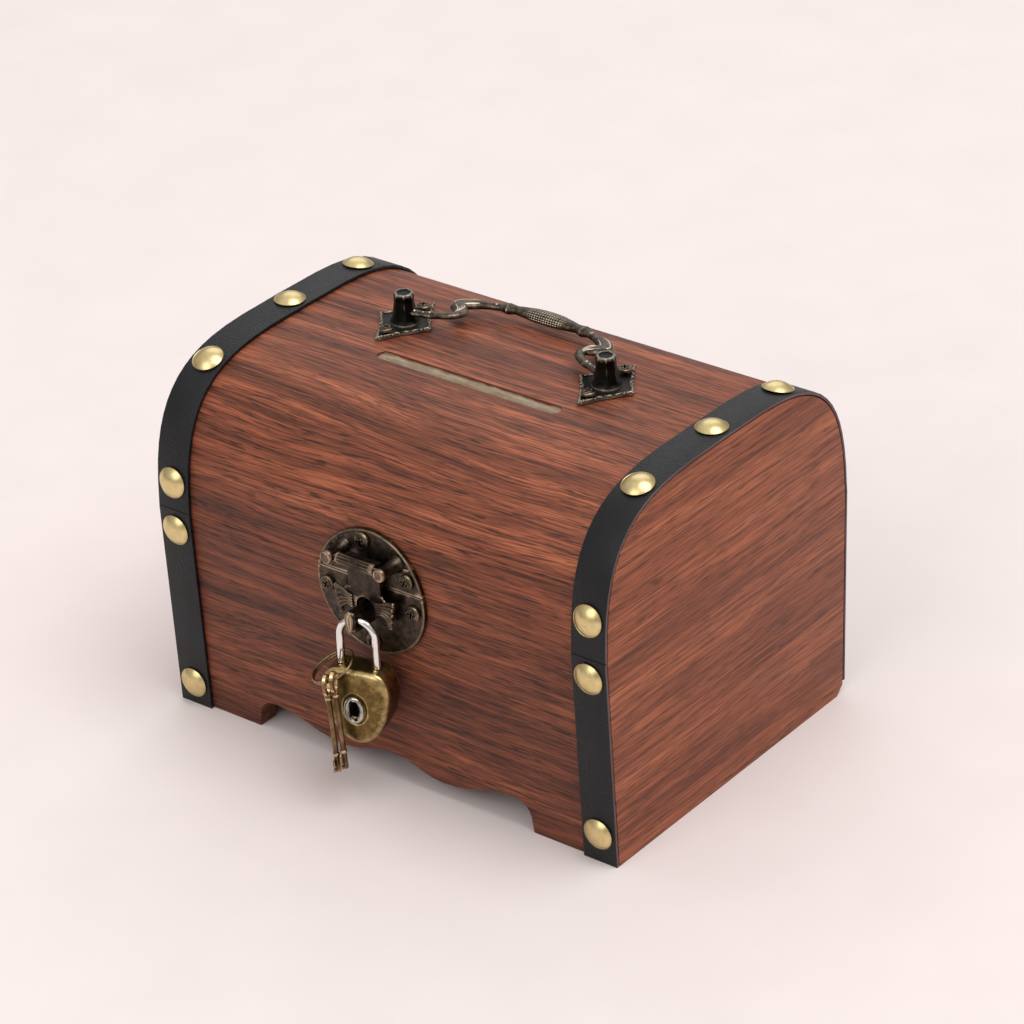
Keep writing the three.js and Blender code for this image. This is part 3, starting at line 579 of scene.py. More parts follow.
# worn bright on its ridges, with the range widened so that this also paints highlights there
bail_bronze = worn_metal("bail_bronze", (34, 31, 28), (104, 94, 80), (206, 190, 166), 0.3, (0.03, 0.22), 0.6)
post_metal = worn_metal("blackened_post", (14, 13, 12), (44, 40, 37), (196, 184, 164),
                         0.42, (0.1, 0.32), 0.9, 0.6)
lock_brass = worn_metal("lock_brass", (78, 63, 36), (134, 110, 64), (214, 188, 132), 0.34, (0.02, 0.13), 0.6)
key_brass = worn_metal("key_brass", (88, 68, 46), (160, 130, 96), (232, 204, 160), 0.3, (0.1, 0.4))
pale_brass = worn_metal("pale_brass", (200, 178, 124), (232, 212, 158), (246, 234, 192), 0.3, (0.3, 0.6), 0.7)
# chrome with painted reflections: dark in its hollows, a painted highlight on its raised edges
collar_painted_reflection = worn_metal("collar_painted_reflection", (36, 33, 28), (148, 142, 130), (250, 248, 242),
                         0.12, (0.04, 0.3), 0.3)


# ---------- wood ----------
SLOT_REACH = 36  # the slot's walls lie within these distances, in millimetres
SLOT_FRONT = -10.5
SLOT_BACK = -1
SLOT_DEPTH = 6
SIDEWAYS = 0.75  # a face looks sideways if its normal rises less than this
CUT_EDGE = 0.8  # a strap's face is its cut edge if its normal points out more than this


def wooden(node, materials):
    shape = cad_shape(node, close_seam=0.1)
    return detailed(node, [shape], materials, WOOD_ROUND, 30)


for panel in ("front_panel", "back_panel", "bottom_panel"):
    wooden(panel, [long_wood])
for panel in ("left_end_panel", "right_end_panel", "lid_left_end", "lid_right_end"):
    wooden(panel, [end_wood])
lid = wooden("lid_skin", [long_wood, raw_wood])


def bare_slot(piece):
    """The slot's walls show bare wood: faces under the lid's top that look sideways near the slot."""
    bottom = high("lid_skin").z - SLOT_DEPTH
    for face in piece.data.polygons:
        x, y, z = face.center / MM
        inside = abs(x) < SLOT_REACH and SLOT_FRONT < y < SLOT_BACK and z > bottom
        if inside and abs(face.normal.z) < SIDEWAYS:
            face.material_index = 1


bare_slot(lid)


# ---------- straps ----------
def strap(node):
    shape = cad_shape(node, close_seam=0.07)
    piece = detailed(node, [shape], [strap_leather, strap_edge], STRAP_ROUND, 32)
    outward = copysign(1, middle(node).x)
    for face in piece.data.polygons:
        if face.normal.x * outward > CUT_EDGE:
            face.material_index = 1


for side in ("left", "right"):
    for part in ("front", "lid", "back"):
        strap(f"{side}_{part}_strap")


# ---------- nails and screws ----------
def shank(radius, length):
    """The profile of a straight shank, up to the underside of its head."""
    return [(0, -length), (radius, -length), (radius, 0)]


def nail_mesh():
    """A thin domed head, part of a ball, on a round shank."""
    steps = 12
    profile = [*shank(*NAIL_SHANK), (NAIL_RADIUS - 0.25, 0), (NAIL_RADIUS, 0.175)]
    ball = (NAIL_RADIUS**2 + NAIL_RISE**2) / (2 * NAIL_RISE)
    reach = asin((NAIL_RADIUS - 0.1) / ball)
    for i in range(steps):
        turn = reach * (1 - i / steps)
        profile.append((ball * sin(turn), NAIL_RISE - ball * (1 - cos(turn))))
    profile.append((0, NAIL_RISE))
    return solid_mesh("nail_head", [lathe(profile, 48)], smooth=50)


def rectangle(half_x, half_y):
    return [(-half_x, -half_y), (half_x, -half_y), (half_x, half_y), (-half_x, half_y)]


def screw_mesh(radius, rise):
    """A pan head with a cross recess."""
    lip = rise * 0.35
    steps = 8
    profile = [*shank(*SCREW_SHANK), (radius, 0), (radius, lip)]
    for i in range(1, steps):
        turn = pi / 2 * i / steps
        profile.append((radius * cos(turn), lip + (rise - lip) * sin(turn) ** 0.8))
    profile.append((0, rise))
    head = solid_mesh("screw_head", [lathe(profile, 36)], smooth=40)
    arm = slab(rectangle(radius * 0.62, CROSS_HALF), rise * 0.27, 2 * rise)
    arms = [moved(arm, Matrix.Rotation(turn, 4, "Z")) for turn in (0, pi / 2)]
    return carved(head, [solid_mesh("arm", [arm]) for arm in arms], 40)


def carved(mesh, cutters, smooth):
    """The mesh with the cutters' solids taken away."""
    holder = new_object("carving", mesh)
    helpers = [new_object("cutter", cutter) for cutter in cutters]
    for helper in helpers:
        step = holder.modifiers.new("cut", "BOOLEAN")
        step.operation, step.solver, step.object = "DIFFERENCE", "EXACT", helper
    graph = bpy.context.evaluated_depsgraph_get()
    made = bpy.data.meshes.new_from_object(holder.evaluated_get(graph))
    for used in [holder, *helpers]:
        bpy.data.objects.remove(used)
    made.name = mesh.name
    made.shade_smooth()
    made.set_sharp_from_angle(angle=radians(smooth))
    return made


def set_head(node, head, material, rise, turn=0.0):
    """A nail or screw in the place of its CAD node, turned about its own axis."""
    piece = stand_in(node, head, [material])
    seat = seat_of(node, rise) @ Matrix.Rotation(turn, 4, "Z")
    piece.matrix_world = Matrix.Scale(MM, 4) @ seat @ Matrix.Scale(1 / MM, 4)


nail = nail_mesh()
hasp_screw = screw_mesh(*HASP_SCREW)
handle_screw = screw_mesh(*HANDLE_SCREW)
for number, node in enumerate(sorted(frame["nodes"])):
    if node.startswith("nail_"):
        set_head(node, nail, pale_brass, NAIL_RISE)
    elif "_screw_" in node:
        head = handle_screw if node.startswith("handle_") else hasp_screw
        set_head(node, head, screw_bronze, CAD_SCREW_RISE, number * SCREW_TURN)


# ---------- carrying handle ----------
PIVOT = joint_place("handle_swing")
BAIL_OUT = 22
BAIL_DROP = 2
BAIL_HALF = [
    (36.9, 0), (34, 0), (29.5, 1.8), (24.6, 5), (23.2, 8.8), (25.8, 11.3),
    (27.4, 13.4), (25.2, 16.4), (20, 19), (12.5, 21.2),
]
BAIL_SIZES = [  # share of the way from the post to the middle, then width and height
    (0, 1.2, 1.0), (0.05, 1.5, 1.0), (0.1, 1.2, 0.9), (0.14, 1.7, 1.05), (0.2, 1.4, 1.0), (0.3, 1.6, 1.1),
    (0.37, 2.3, 1.2), (0.44, 2.8, 1.35), (0.52, 2.4, 1.3), (0.58, 1.8, 1.2), (0.63, 1.35, 1.1),
    (0.685, 1.35, 1.1), (0.735, 2.4, 1.6), (0.785, 1.6, 1.3), (0.83, 2.1, 1.5), (0.92, 2.8, 1.85),
    (1, 3.0, 1.9),
]
BAIL_STEPS = 420
BAIL_SIDES = 56
KNURL_HALF = 7.5  # the cross-hatched grip: half its length, its fading ends and its relief
KNURL_FADE = 1.5
KNURL_RELIEF = 0.06
KNURL_LINES = 9  # hatch lines round the grip, and their radians for each millimetre along it
KNURL_PITCH = 3.4
POST_FACETS = 7
VEIN_SHARES = (0.27, 0.36, 0.45, 0.53, 0.6)  # where a leaf's veins run, as shares of the way to the middle


def bail_path(count):
    half = [Vector((-x, y, -BAIL_DROP * y / BAIL_OUT)) for x, y in BAIL_HALF]
    mirrored = [Vector((-p.x, p.y, p.z)) for p in reversed(half)]
    return smooth_path([*half, Vector((0, BAIL_OUT, -BAIL_DROP)), *mirrored], count)


def bail_shape():
    """A cast bar that swells into leaves and beads, with a cross-hatched grip in the middle."""
    path = bail_path(BAIL_STEPS)
    last = len(path) - 1
    shares, wides, talls = zip(*BAIL_SIZES)
    rings = []
    for i, spot in enumerate(path):
        share = 1 - abs(2 * i / last - 1)
        wide, tall = np.interp(share, shares, wides), np.interp(share, shares, talls)
        ahead = (path[min(i + 1, last)] - path[max(i - 1, 0)]).normalized()
        across = ahead.cross(Vector((0, 0, 1))).normalized()
        rise = across.cross(ahead)
        hatched = max(0.0, min(1.0, (KNURL_HALF - abs(spot.x)) / KNURL_FADE))
        ring = []
        for x, y in circle(1, BAIL_SIDES):
            lines, shift = KNURL_LINES * atan2(y, x), KNURL_PITCH * spot.x
            swell = 1 + KNURL_RELIEF * hatched * cos(lines + shift) * cos(lines - shift)
            ring.append(spot + across * (wide * swell * x) + rise * (tall * swell * y))
        rings.append(ring)
    return loft(rings)


def bail_point(path, side, share, aside, lift):
    """A point on the bar's upper side, share of the way from one post to the middle."""
    step = round(share * BAIL_STEPS / 2)
    ahead = (path[step + 1] - path[step - 1]).normalized()
    spot = path[step] + Vector((-ahead.y, ahead.x, 0)) * aside
    return Vector((spot.x * side, spot.y, spot.z + lift))


def vein(path, side, spots, wire, count):
    """A tapered ridge on the bar through (share, aside, lift) spots."""
    spine = smooth_path([bail_point(path, side, *spot) for spot in spots], count)
    return sweep(spine, circle(wire, 8), taper(count, 0.3))


def bail_ornaments():
    """Studs near the posts, and veined leaves where the bar bends and beside the grip."""
    shapes = []
    path = bail_path(BAIL_STEPS + 1)
    for side in (1, -1):
        for share, radius in ((0.05, 0.7), (0.1, 0.55), (0.14, 0.7)):
            shapes.append(bead(bail_point(path, side, share, 0, 0.5), radius))
        for aside in (-1.1, -0.35, 0.4, 1.1):
            fan = zip(VEIN_SHARES, (0.3, 0.9, 1.5, 1.1, 0.4), (0.7, 0.85, 0.75, 0.85, 0.75))
            spots = [(share, aside * spread, lift) for share, spread, lift in fan]
            shapes.append(vein(path, side, spots, 0.44, 26))
        for share in (0.66, 0.7):
            shapes.append(bead(bail_point(path, side, share, 0, 0.45), 0.95, (1, 1, 0.8)))
        for aside in (-0.9, 0.9):
            spots = [(0.715, aside * 0.4, 1.0), (0.74, aside, 1.05), (0.775, aside * 0.4, 1.05)]
            shapes.append(vein(path, side, spots, 0.32, 14))
    return shapes


def taper(count, least):
    """Sizes that swell from least at both ends to 1 in the middle."""
    sizes = [least + (1 - least) * abs(sin(pi * i / (count - 1))) ** 0.6 for i in range(count)]
    return [(size, size) for size in sizes]


def bail():
    shapes = [moved(shape, Matrix.Translation(PIVOT)) for shape in [bail_shape(), *bail_ornaments()]]
    detailed("handle_bail", shapes, [bail_bronze], smooth=60)


def fluted_post(height):
    """A conical post with worn facets and a flat top, standing in a low ring."""
    profile = [
        (0, 0.4), (4.7, 0.4), (4.7, 1.25), (4.3, 1.7), (3.95, 2.4), (3.6, 4.4), (3.3, 7), (3.1, height - 1.6),
        (3.2, height - 1.2), (3.15, height - 0.4), (2.85, height), (2.3, height + 0.05), (1.9, height - 0.2),
        (0, height - 0.15),
    ]
    ring_top = 1.9
    half_facet = pi / POST_FACETS
    points, faces = lathe(profile, 64)
    shaped = []
    for p in points:
        turn = atan2(p.y, p.x)
        depth = 0
        if p.z > ring_top:
            facet = (turn + TAU) % (2 * half_facet) - half_facet
            wear = 0.02 * sin(5 * turn + 1.3 * p.z)
            depth = 0.8 * (1 - cos(half_facet) / cos(facet)) + wear
        shaped.append(Vector((p.x * (1 - depth), p.y * (1 - depth), p.z)))
    return shaped, faces


def bracket_edge(tips, steps=14):
    """The plate's outline: hollow, slightly wavy sides between its four tips."""
    edge = []
    for (x0, y0), (x1, y1) in zip(tips, [*tips[1:], tips[0]]):
        for i in range(steps):
            t = i / steps
            pull = 1 - 0.05 * sin(pi * t) + 0.02 * sin(4 * pi * t)
            edge.append(((x0 + (x1 - x0) * t) * pull, (y0 + (y1 - y0) * t) * pull))
    return edge


def bracket(node):
    """A diamond plate with a beaded rim and the post that the bail hangs on."""
    inset = 0.4
    reach = (high(node) - low(node)) / 2
    half_x, half_y = reach.x - inset, reach.y - inset
    tips = [(half_x, 0), (0, half_y), (-half_x, 0), (0, -half_y)]
    edge = bracket_edge(tips)
    layers = [(1, 0), (1, 0.8), (0.97, 1.05), (0.92, 1.1), (0.88, 0.95), (0.8, 0.9), (0.5, 0.9)]
    rings = [[Vector((x * share, y * share, z)) for x, y in edge] for share, z in layers]
    shapes = [loft(rings), fluted_post(2 * reach.z)]
    rim = [Vector((x * 0.97, y * 0.97, 0.95)) for x, y in edge]
    swell = [0.75 + 0.25 * cos(i * 2.4) for i in range(len(rim))]
    shapes.append(sweep(rim, circle(0.42, 10), [(size, size) for size in swell], closed=True))
    for x, y in tips:
        shapes.append(bead((x, y, 0.8), 0.6))
        for share in (0.08, 0.15, 0.3, 0.42):
            for other_x, other_y in tips[::2] if x == 0 else tips[1::2]:
                bx, by = x + (other_x - x) * share, y + (other_y - y) * share
                shapes.append(bead((bx * 0.97, by * 0.97, 0.9), 0.62 - 0.6 * share))
    spot = Vector((middle(node).x, middle(node).y, low(node).z))
    shapes = [moved(shape, Matrix.Translation(spot)) for shape in shapes]
    detailed(node, shapes, [post_metal], smooth=48)


bail()
bracket("left_handle_bracket")
bracket("right_handle_bracket")


# ---------- hasp ----------
def surface_of(node):
    """Ray casts onto a CAD node from the front; returns y in millimetres at x, z."""
    mesh = frame["nodes"][node].data
    tree = BVHTree.FromPolygons([v.co for v in mesh.vertices], [p.vertices for p in mesh.polygons])

    def front_y(x, z):
        hit = tree.ray_cast(Vector((x * MM, -0.2, z * MM)), Vector((0, 1, 0)))[0]
        return hit.y / MM
    return front_y


DISC_RADIUS = (high("hasp_lower_plate").x - low("hasp_lower_plate").x) / 2
DISC_Z = high("hasp_upper_plate").z - DISC_RADIUS
case_front = surface_of("front_panel")
lid_front = surface_of("lid_skin")
RIM_OUT = 1.35  # the middle of the plates' rounded rim, out of the wood and in from the disc
RIM_INSET = 0.5
RIM_WIRE = 0.42
PLATE_GAP = 0.5  # from the joint of case and lid to each plate
CAP_DEEP = 0.9  # how much of the hinge posts is rubbed bright
BARREL_RADIUS = 1.75
BARREL_HALF = 6.8
LEAF_TOP = 64.2  # the leaf on the staple's front
LEAF_LOW = 57.2
LEAF_HALF = 1.6
FORWARD = (0, -1, 0)


def plate_point(x, z):
    above = z > SEAM_Z
    inside_z = max(z, SEAM_Z + PLATE_GAP) if above else min(z, SEAM_Z - PLATE_GAP)
    surface = lid_front if above else case_front
    return Vector((x, surface(x, inside_z) - RIM_OUT, z))


def plate_rim(start, stop, count):
    """A rounded rim that follows the wood round the hasp's middle, angles from +X."""
    radius = DISC_RADIUS - RIM_INSET
    turns = [start + (stop - start) * i / (count - 1) for i in range(count)]
    path = [plate_point(HASP_X + radius * cos(a), DISC_Z + radius * sin(a)) for a in turns]
    return sweep(path, circle(RIM_WIRE, 10))


def hasp_post(x, z):
    """A hinge post: a bar flaring into the plate, with a flat, slightly larger end."""
    seat = low("hasp_upper_plate").y
    profile = [
        (0, -9), (3.0, -9), (2.7, -8.2), (2.2, -7), (1.95, -5.5), (1.9, -1.7), (2.05, -1.5), (2.1, -1.2),
        (2.1, -0.55), (2.0, -0.3), (1.75, -0.12), (1.3, -0.03), (0.7, 0.01), (0, 0.02),
    ]
    turn = Matrix.Rotation(pi / 2, 4, "X")
    return moved(lathe(profile, 36), Matrix.Translation((x, seat, z)) @ turn)


def upper_plate():
    node = "hasp_upper_plate"
    pin = middle("hasp_pin")
    reach = (high("hasp_pin").x - low("hasp_pin").x) / 2 - 1.6
    turn = asin((SEAM_Z + PLATE_GAP - DISC_Z) / DISC_RADIUS)
    shapes = [cad_shape(node), plate_rim(turn, pi - turn, 60)]
    shapes += [hasp_post(pin.x + side * reach, pin.z) for side in (-1, 1)]
    piece = detailed(node, shapes, [dark_bronze, cap_bronze], PLATE_ROUND, 38, METAL_GRID)
    for face in piece.data.polygons:
        if face.center.y < (low(node).y + CAP_DEEP) * MM:
            face.material_index = 1


def lower_plate():
    node = "hasp_lower_plate"
    turn = asin((SEAM_Z - PLATE_GAP - DISC_Z) / DISC_RADIUS)
    shapes = [cad_shape(node), plate_rim(pi - turn, TAU + turn, 90), *staple_leaf()]
    detailed(node, shapes, [dark_bronze], PLATE_ROUND, 38, METAL_GRID)


def staple_leaf():
    """The pointed leaf on the front of the staple: a shield with a raised edge and a vein."""
    front = low("hasp_lower_plate").y
    edge = []
    for x, y in circle(1, 40):
        share = 0.5 - 0.5 * x
        width = LEAF_HALF * y * (1.15 - 0.75 * share)
        edge.append((width, LEAF_TOP - (LEAF_TOP - LEAF_LOW) * share ** 0.85))
    upright = Matrix.Translation((HASP_X, front + 0.05, 0)) @ Matrix.Rotation(pi / 2, 4, "X")
    shapes = [moved(slab(edge, 0, 0.35), upright)]
    rim = [Vector((HASP_X + x * 0.93, front - 0.25, z)) for x, z in edge]
    shapes.append(sweep(rim, circle(0.27, 8), up=FORWARD, closed=True))
    midrib = [Vector((HASP_X, front - 0.25, z)) for z in np.linspace(LEAF_TOP - 1, LEAF_TOP - 6, 10)]
    shapes.append(sweep(midrib, circle(0.28, 8), taper(10, 0.3), up=FORWARD))
    return shapes


def leaf():
    """The hasp's leaf: a folded strap with rolled barrel, an arch and a feathered wing each side."""
    node = "hasp_leaf"
    leaf_front = surface_of(node)
    shapes = [cad_shape(node)]
    pin = middle("hasp_pin")
    for degrees in (15, 45, 75, 105, 135):
        turn = radians(degrees)
        away = Vector((0, -sin(turn), cos(turn))) * BARREL_RADIUS
        ridge = [pin + away + Vector((x, 0, 0)) for x in (-BARREL_HALF, 0, BARREL_HALF)]
        shapes.append(sweep(ridge, circle(0.14, 8)))
    for side in (-1, 1):
        wing_y = leaf_front(HASP_X + side * 8, 63.5)
        shapes += [wing_feather(wing_y, side, i) for i in range(5)]
        shapes += [wing_scroll(wing_y, side, i) for i in range(2)]
    detailed(node, shapes, [leaf_bronze], LEAF_ROUND, 40, METAL_GRID)


def wing_feather(wing_y, side, number):
    """One lobe of a wing: a low ridge fanning out from beside the arch to the stepped edge."""
    steps = 22
    inner_z = 65.2 - number * 0.9
    outer_z = 66.7 - number * 2.15
    outer_x = 11.4 - number * 0.5
    spots = [(4.6, inner_z), (6.6, inner_z + 0.5), (9.0, (inner_z + outer_z) / 2 + 0.5), (outer_x, outer_z)]
    path = [Vector((HASP_X + side * x, wing_y - 0.1, z)) for x, z in spots]
    sizes = [(0.5 + 0.6 * i / (steps - 1), 0.8) for i in range(steps)]
    sizes[-1] = (0.7, 0.5)
    return sweep(smooth_path(path, steps), circle(0.85, 12), sizes, up=FORWARD)


def wing_scroll(wing_y, side, number):
    """A small curl at the wing's shoulder."""
    spots = [(5.2 + 1.2 * number, 67.9 - 0.4 * number), (6.6 + number, 67.6 - number),
             (7.4 + number, 66.2 - number)]
    path = [Vector((HASP_X + side * x, wing_y + 0.1, z)) for x, z in spots]
    return sweep(smooth_path(path, 12), circle(0.4, 8), taper(12, 0.4), up=FORWARD)


def hinge_pin():
    reach = (high("hasp_pin") - low("hasp_pin")) / 2
    half, radius = reach.x, reach.z
    profile = [(0, -half), (radius * 0.7, -half), (radius, -half + 0.3), (radius, half - 0.3)]
    profile += [(radius * 0.7, half), (0, half)]
    turn = Matrix.Translation(middle("hasp_pin")) @ Matrix.Rotation(pi / 2, 4, "Y")
    detailed("hasp_pin", [moved(lathe(profile, 24), turn)], [leaf_bronze])


upper_plate()
lower_plate()
leaf()
hinge_pin()


# ---------- padlock ----------
OUTWARD = joint_axis("key_turn")
ACROSS = (-OUTWARD).cross(Vector((0, 0, 1)))
LOCK_TURN = Matrix((ACROSS, -OUTWARD, Vector((0, 0, 1)))).transposed().to_4x4()
LOCK_TOP = high("padlock_body").z
LOCK_HIGH = LOCK_TOP - low("padlock_body").z
LOCK = Matrix.Translation((middle("padlock_body").x, middle("padlock_body").y, LOCK_TOP)) @ LOCK_TURN
PLUG_Z = joint_place("key_turn").z - LOCK_TOP
LOCK_BACK = 5.25  # half the lock's thickness, with its face at LOCK_FACE
LOCK_FACE = -LOCK_BACK
LOCK_SIDES = 96
LEG_HALF = 5.75
LEG_RADIUS = 1.2
LEG_FEET = (-4.4, -8.8)  # how deep the shackle's short and long leg reach into the lock


def bezier(a, b, c, d, count):
    """Points on a curve from a to d, without d itself."""
    a, b, c, d = (Vector(p) for p in (a, b, c, d))
    shares = [i / count for i in range(count)]
    return [(1 - t)**3 * a + 3 * (1 - t)**2 * t * b + 3 * (1 - t) * t**2 * c + t**3 * d for t in shares]


def lock_radii():
    """The lock's outline as distances from the keyhole, at even angles."""
    right = bezier((0, 0), (3, 0.1), (4, 0.1), (5.2, 0), 8)
    right += bezier((5.2, 0), (9, -0.1), (11, -2.9), (11, -7.3), 14)
    right += bezier((11, -7.3), (11, -15.2), (6.2, -LOCK_HIGH), (0, -LOCK_HIGH), 24)
    right.append(Vector((0, -LOCK_HIGH)))
    turns = [atan2(p.x, p.y - PLUG_Z) for p in right]
    reach = [hypot(p.x, p.y - PLUG_Z) for p in right]
    angles = [TAU * k / LOCK_SIDES for k in range(LOCK_SIDES)]
    return [float(np.interp(min(a, TAU - a), turns, reach)) for a in angles]


def lock_ring(radii, depth):
    """A ring round the keyhole's axis, one radius a side."""
    angles = [TAU * k / len(radii) for k in range(len(radii))]
    return [Vector((r * sin(a), depth, PLUG_Z + r * cos(a))) for r, a in zip(radii, angles)]


def padlock_body():
    radii = lock_radii()
    layers = [    # share of the outline, and depth from the back to the rolled face
        (0.78, LOCK_BACK), (0.9, LOCK_BACK - 0.1), (0.965, LOCK_BACK - 0.5), (0.995, LOCK_BACK - 1.2),
        (1, LOCK_BACK - 2), (1, 1.5), (1, -1.5),
    ]
    layers += [(share, LOCK_FACE + deep) for share, deep in (
        (1, 2.2), (0.996, 1.75), (0.98, 1.3), (0.955, 0.92), (0.925, 0.64), (0.885, 0.42), (0.84, 0.28),
        (0.77, 0.16), (0.68, 0.08), (0.58, 0.02),
    )]
    rings = [lock_ring([r * share for r in radii], depth) for share, depth in layers]
    boss_and_bore = [
        (4.9, 6.2, -0.02), (4.3, 5.5, -0.06), (4.05, 5.25, -0.02), (3.9, 5.1, 0.16), (3.6, 4.8, 0.18),
        (2.6, 2.6, -0.08), (2.5, 2.5, 0.1), (2.5, 2.5, 3.6),
    ]
    rings += [oval(x, z, LOCK_FACE + deep, LOCK_SIDES) for x, z, deep in boss_and_bore]
    shape = loft(rings, Vector((0, LOCK_BACK, PLUG_Z)), Vector((0, LOCK_FACE + 3.6, PLUG_Z)))
    body = solid_mesh("padlock_body_detail", [moved(shape, LOCK)], smooth=50)
    cutters = []
    for side, foot in zip((-1, 1), LEG_FEET):
        bottom = foot - 0.8
        profile = [(0, bottom), (1.5, bottom), (1.5, -0.35), (1.9, 2), (0, 2)]
        leg_hole = moved(lathe(profile, 28), LOCK @ Matrix.Translation((side * LEG_HALF, 0, 0)))
        cutters.append(solid_mesh("leg_hole", [leg_hole]))
    stand_in("padlock_body", carved(body, cutters, 50), [lock_brass])
    rivet = bead((0, LOCK_FACE + 0.68, 3.6 - LOCK_HIGH), 0.55, (1, 0.7, 1))
    piece = solid_mesh("padlock_rivet", [moved(rivet, LOCK)], smooth=60)
    place("padlock_rivet", piece, body_of("padlock_body"), [], [chrome])


def oval(half_x, half_z, depth, sides):
    return [Vector((half_x * y, depth, PLUG_Z + half_z * x)) for x, y in circle(1, sides)]


def padlock_collar():
    """A rounded oval ring in front of the plug."""
    section = [(3.0, 4.2, 0.1), (3.25, 4.45, -0.1), (3.3, 4.5, -0.4), (3.2, 4.4, -0.75), (2.95, 4.15, -0.98),
               (2.6, 3.85, -1.05), (2.2, 3.55, -0.95), (1.8, 3.3, -0.65), (1.5, 3.1, -0.2), (1.4, 3.0, 0.1)]
    ring = loft([oval(x, z, LOCK_FACE - 0.12 + deep, 64) for x, z, deep in section], closed=True)
    detailed("padlock_collar", [moved(ring, LOCK)], [collar_painted_reflection], smooth=50)


def padlock_plug():
    profile = [(0, 3.9), (2.28, 3.9), (2.28, 0.3), (1.9, 0.25), (0, 0.2)]
    turn = LOCK @ Matrix.Translation((0, LOCK_FACE, PLUG_Z)) @ Matrix.Rotation(-pi / 2, 4, "X")
    plug = solid_mesh("padlock_plug_detail", [moved(lathe(profile, 40), turn)], smooth=40)
    facing = LOCK @ Matrix.Translation((0, LOCK_FACE, PLUG_Z)) @ Matrix.Rotation(pi / 2, 4, "X")
    cutter = solid_mesh("keyhole", [moved(slab(rectangle(0.7, 1.95), -2.5, 1.6), facing)])
    stand_in("padlock_plug", carved(plug, [cutter], 40), [plug_painted_shade])


def padlock_shackle():
    bow_z = high("padlock_shackle").z - LEG_RADIUS - LOCK_TOP - LEG_HALF
    path = [Vector((-LEG_HALF, 0, z)) for z in np.linspace(LEG_FEET[0], bow_z, 12)]
    for turn in np.linspace(0.06, pi - 0.06, 48):
        path.append(Vector((-LEG_HALF * cos(turn), 0, bow_z + LEG_HALF * sin(turn))))
    path += [Vector((LEG_HALF, 0, z)) for z in np.linspace(bow_z, LEG_FEET[1], 16)]
    sizes = [(0.95, 0.95) if spot.z > bow_z else (1, 1) for spot in path]
    sizes[0] = sizes[-1] = (0.8, 0.8)
    shape = sweep(path, circle(LEG_RADIUS, 28), sizes, up=FORWARD)
    detailed("padlock_shackle", [moved(shape, LOCK)], [chrome], smooth=60)


padlock_body()
padlock_collar()
padlock_plug()
padlock_shackle()


# ---------- key ring and keys ----------
RING_WIRE = 0.36
RING_SPREAD = 0.36
RING_STEPS = 150
CROSSING = 0.8  # radians from the ring's ends to where its two turns change places
KEY_LEAN = radians(-3.5)


def key_ring():
    """A split ring: two turns of wire side by side that cross over once."""
    points = node_points("key_ring")
    centre = points.mean(0)
    axes = np.linalg.eigh(np.cov((points - centre).T))[1]
    normal, first = Vector(axes[:, 0]), Vector(axes[:, 2])
    second = normal.cross(first)
    radius = np.linalg.norm(points - centre, axis=1).max() - 0.45
    path = []
    for turn in np.linspace(CROSSING, 2 * TAU - CROSSING, RING_STEPS):
        step = min(max((turn - TAU + CROSSING) / (2 * CROSSING), 0), 1)
        offset = RING_SPREAD * (2 * step * step * (3 - 2 * step) - 1)
        around = first * cos(turn) + second * sin(turn)
        path.append(Vector(centre) + around * radius + normal * offset)
    sizes = [(0.75, 0.75)] + [(1, 1)] * (RING_STEPS - 2) + [(0.75, 0.75)]
    shape = sweep(path, circle(RING_WIRE, 12), sizes, up=normal)
    detailed("key_ring", [shape], [key_brass], smooth=60)


def key(node, hang_joint):
    """A small barrel key seen edge-on: looped bow, collars, hollow barrel and a notched bit."""
    hang = joint_place(hang_joint)
    base = low(node).z - hang.z
    neck = -4.4
    bow = [Vector((0, 1.72 * x, 3.05 * y - 1.2)) for x, y in circle(1, 40)]
    profile = [
        (0, base + 3), (0.45, base + 3), (0.45, base), (0.75, base), (0.86, base + 0.25), (0.86, base + 5.4),
        (1.06, base + 5.6), (1.06, base + 6.3), (0.84, base + 6.5), (0.8, base + 12), (0.8, neck - 1.7),
        (1.05, neck - 1.5), (1.05, neck - 0.9), (0.85, neck - 0.75), (0.9, neck - 0.1), (0.7, neck + 0.5),
        (0, neck + 0.5),
    ]
    notches = [(0, 0.8), (2.5, 0.8), (2.5, 1.9), (1.7, 1.9), (1.7, 2.6), (2.5, 2.6), (2.5, 4.6), (0, 4.6)]
    bit = slab([(out, base + up) for out, up in notches], -0.35, 0.35)
    flat = Matrix(((0, 0, 1, 0), (-1, 0, 0, 0), (0, 1, 0, 0), (0, 0, 0, 1)))
    loop = sweep(bow, rectangle(0.55, 0.5), up=(1, 0, 0), closed=True)
    stance = Matrix.Translation(hang) @ LOCK_TURN @ Matrix.Rotation(KEY_LEAN, 4, "Y")
    shapes = [moved(shape, stance) for shape in (loop, lathe(profile, 24), moved(bit, flat))]
    detailed(node, shapes, [key_brass], KEY_ROUND, 42)


key_ring()
key("key_1", "key_1_swing")
key("key_2", "key_2_swing")


# ---------- hinges ----------
def back_hinge(node, screw_z):
    """The CAD leaf with rounded edges and the heads of its small screws."""
    shapes = [cad_shape(node)]
    face_y = high("right_end_panel").y + HINGE_GAP + HINGE_THICK
    profile = [(0, 0), (1.5, 0), (1.35, 0.35), (0.9, 0.55), (0, 0.6)]
    turn = Matrix.Rotation(-pi / 2, 4, "X")
    for share in (0.16, 0.84):
        x = low(node).x + (high(node).x - low(node).x) * share
        shapes.append(moved(lathe(profile, 20), Matrix.Translation((x, face_y - 0.05, screw_z)) @ turn))
    detailed(node, shapes, [bronze], HINGE_ROUND, 38, METAL_GRID)


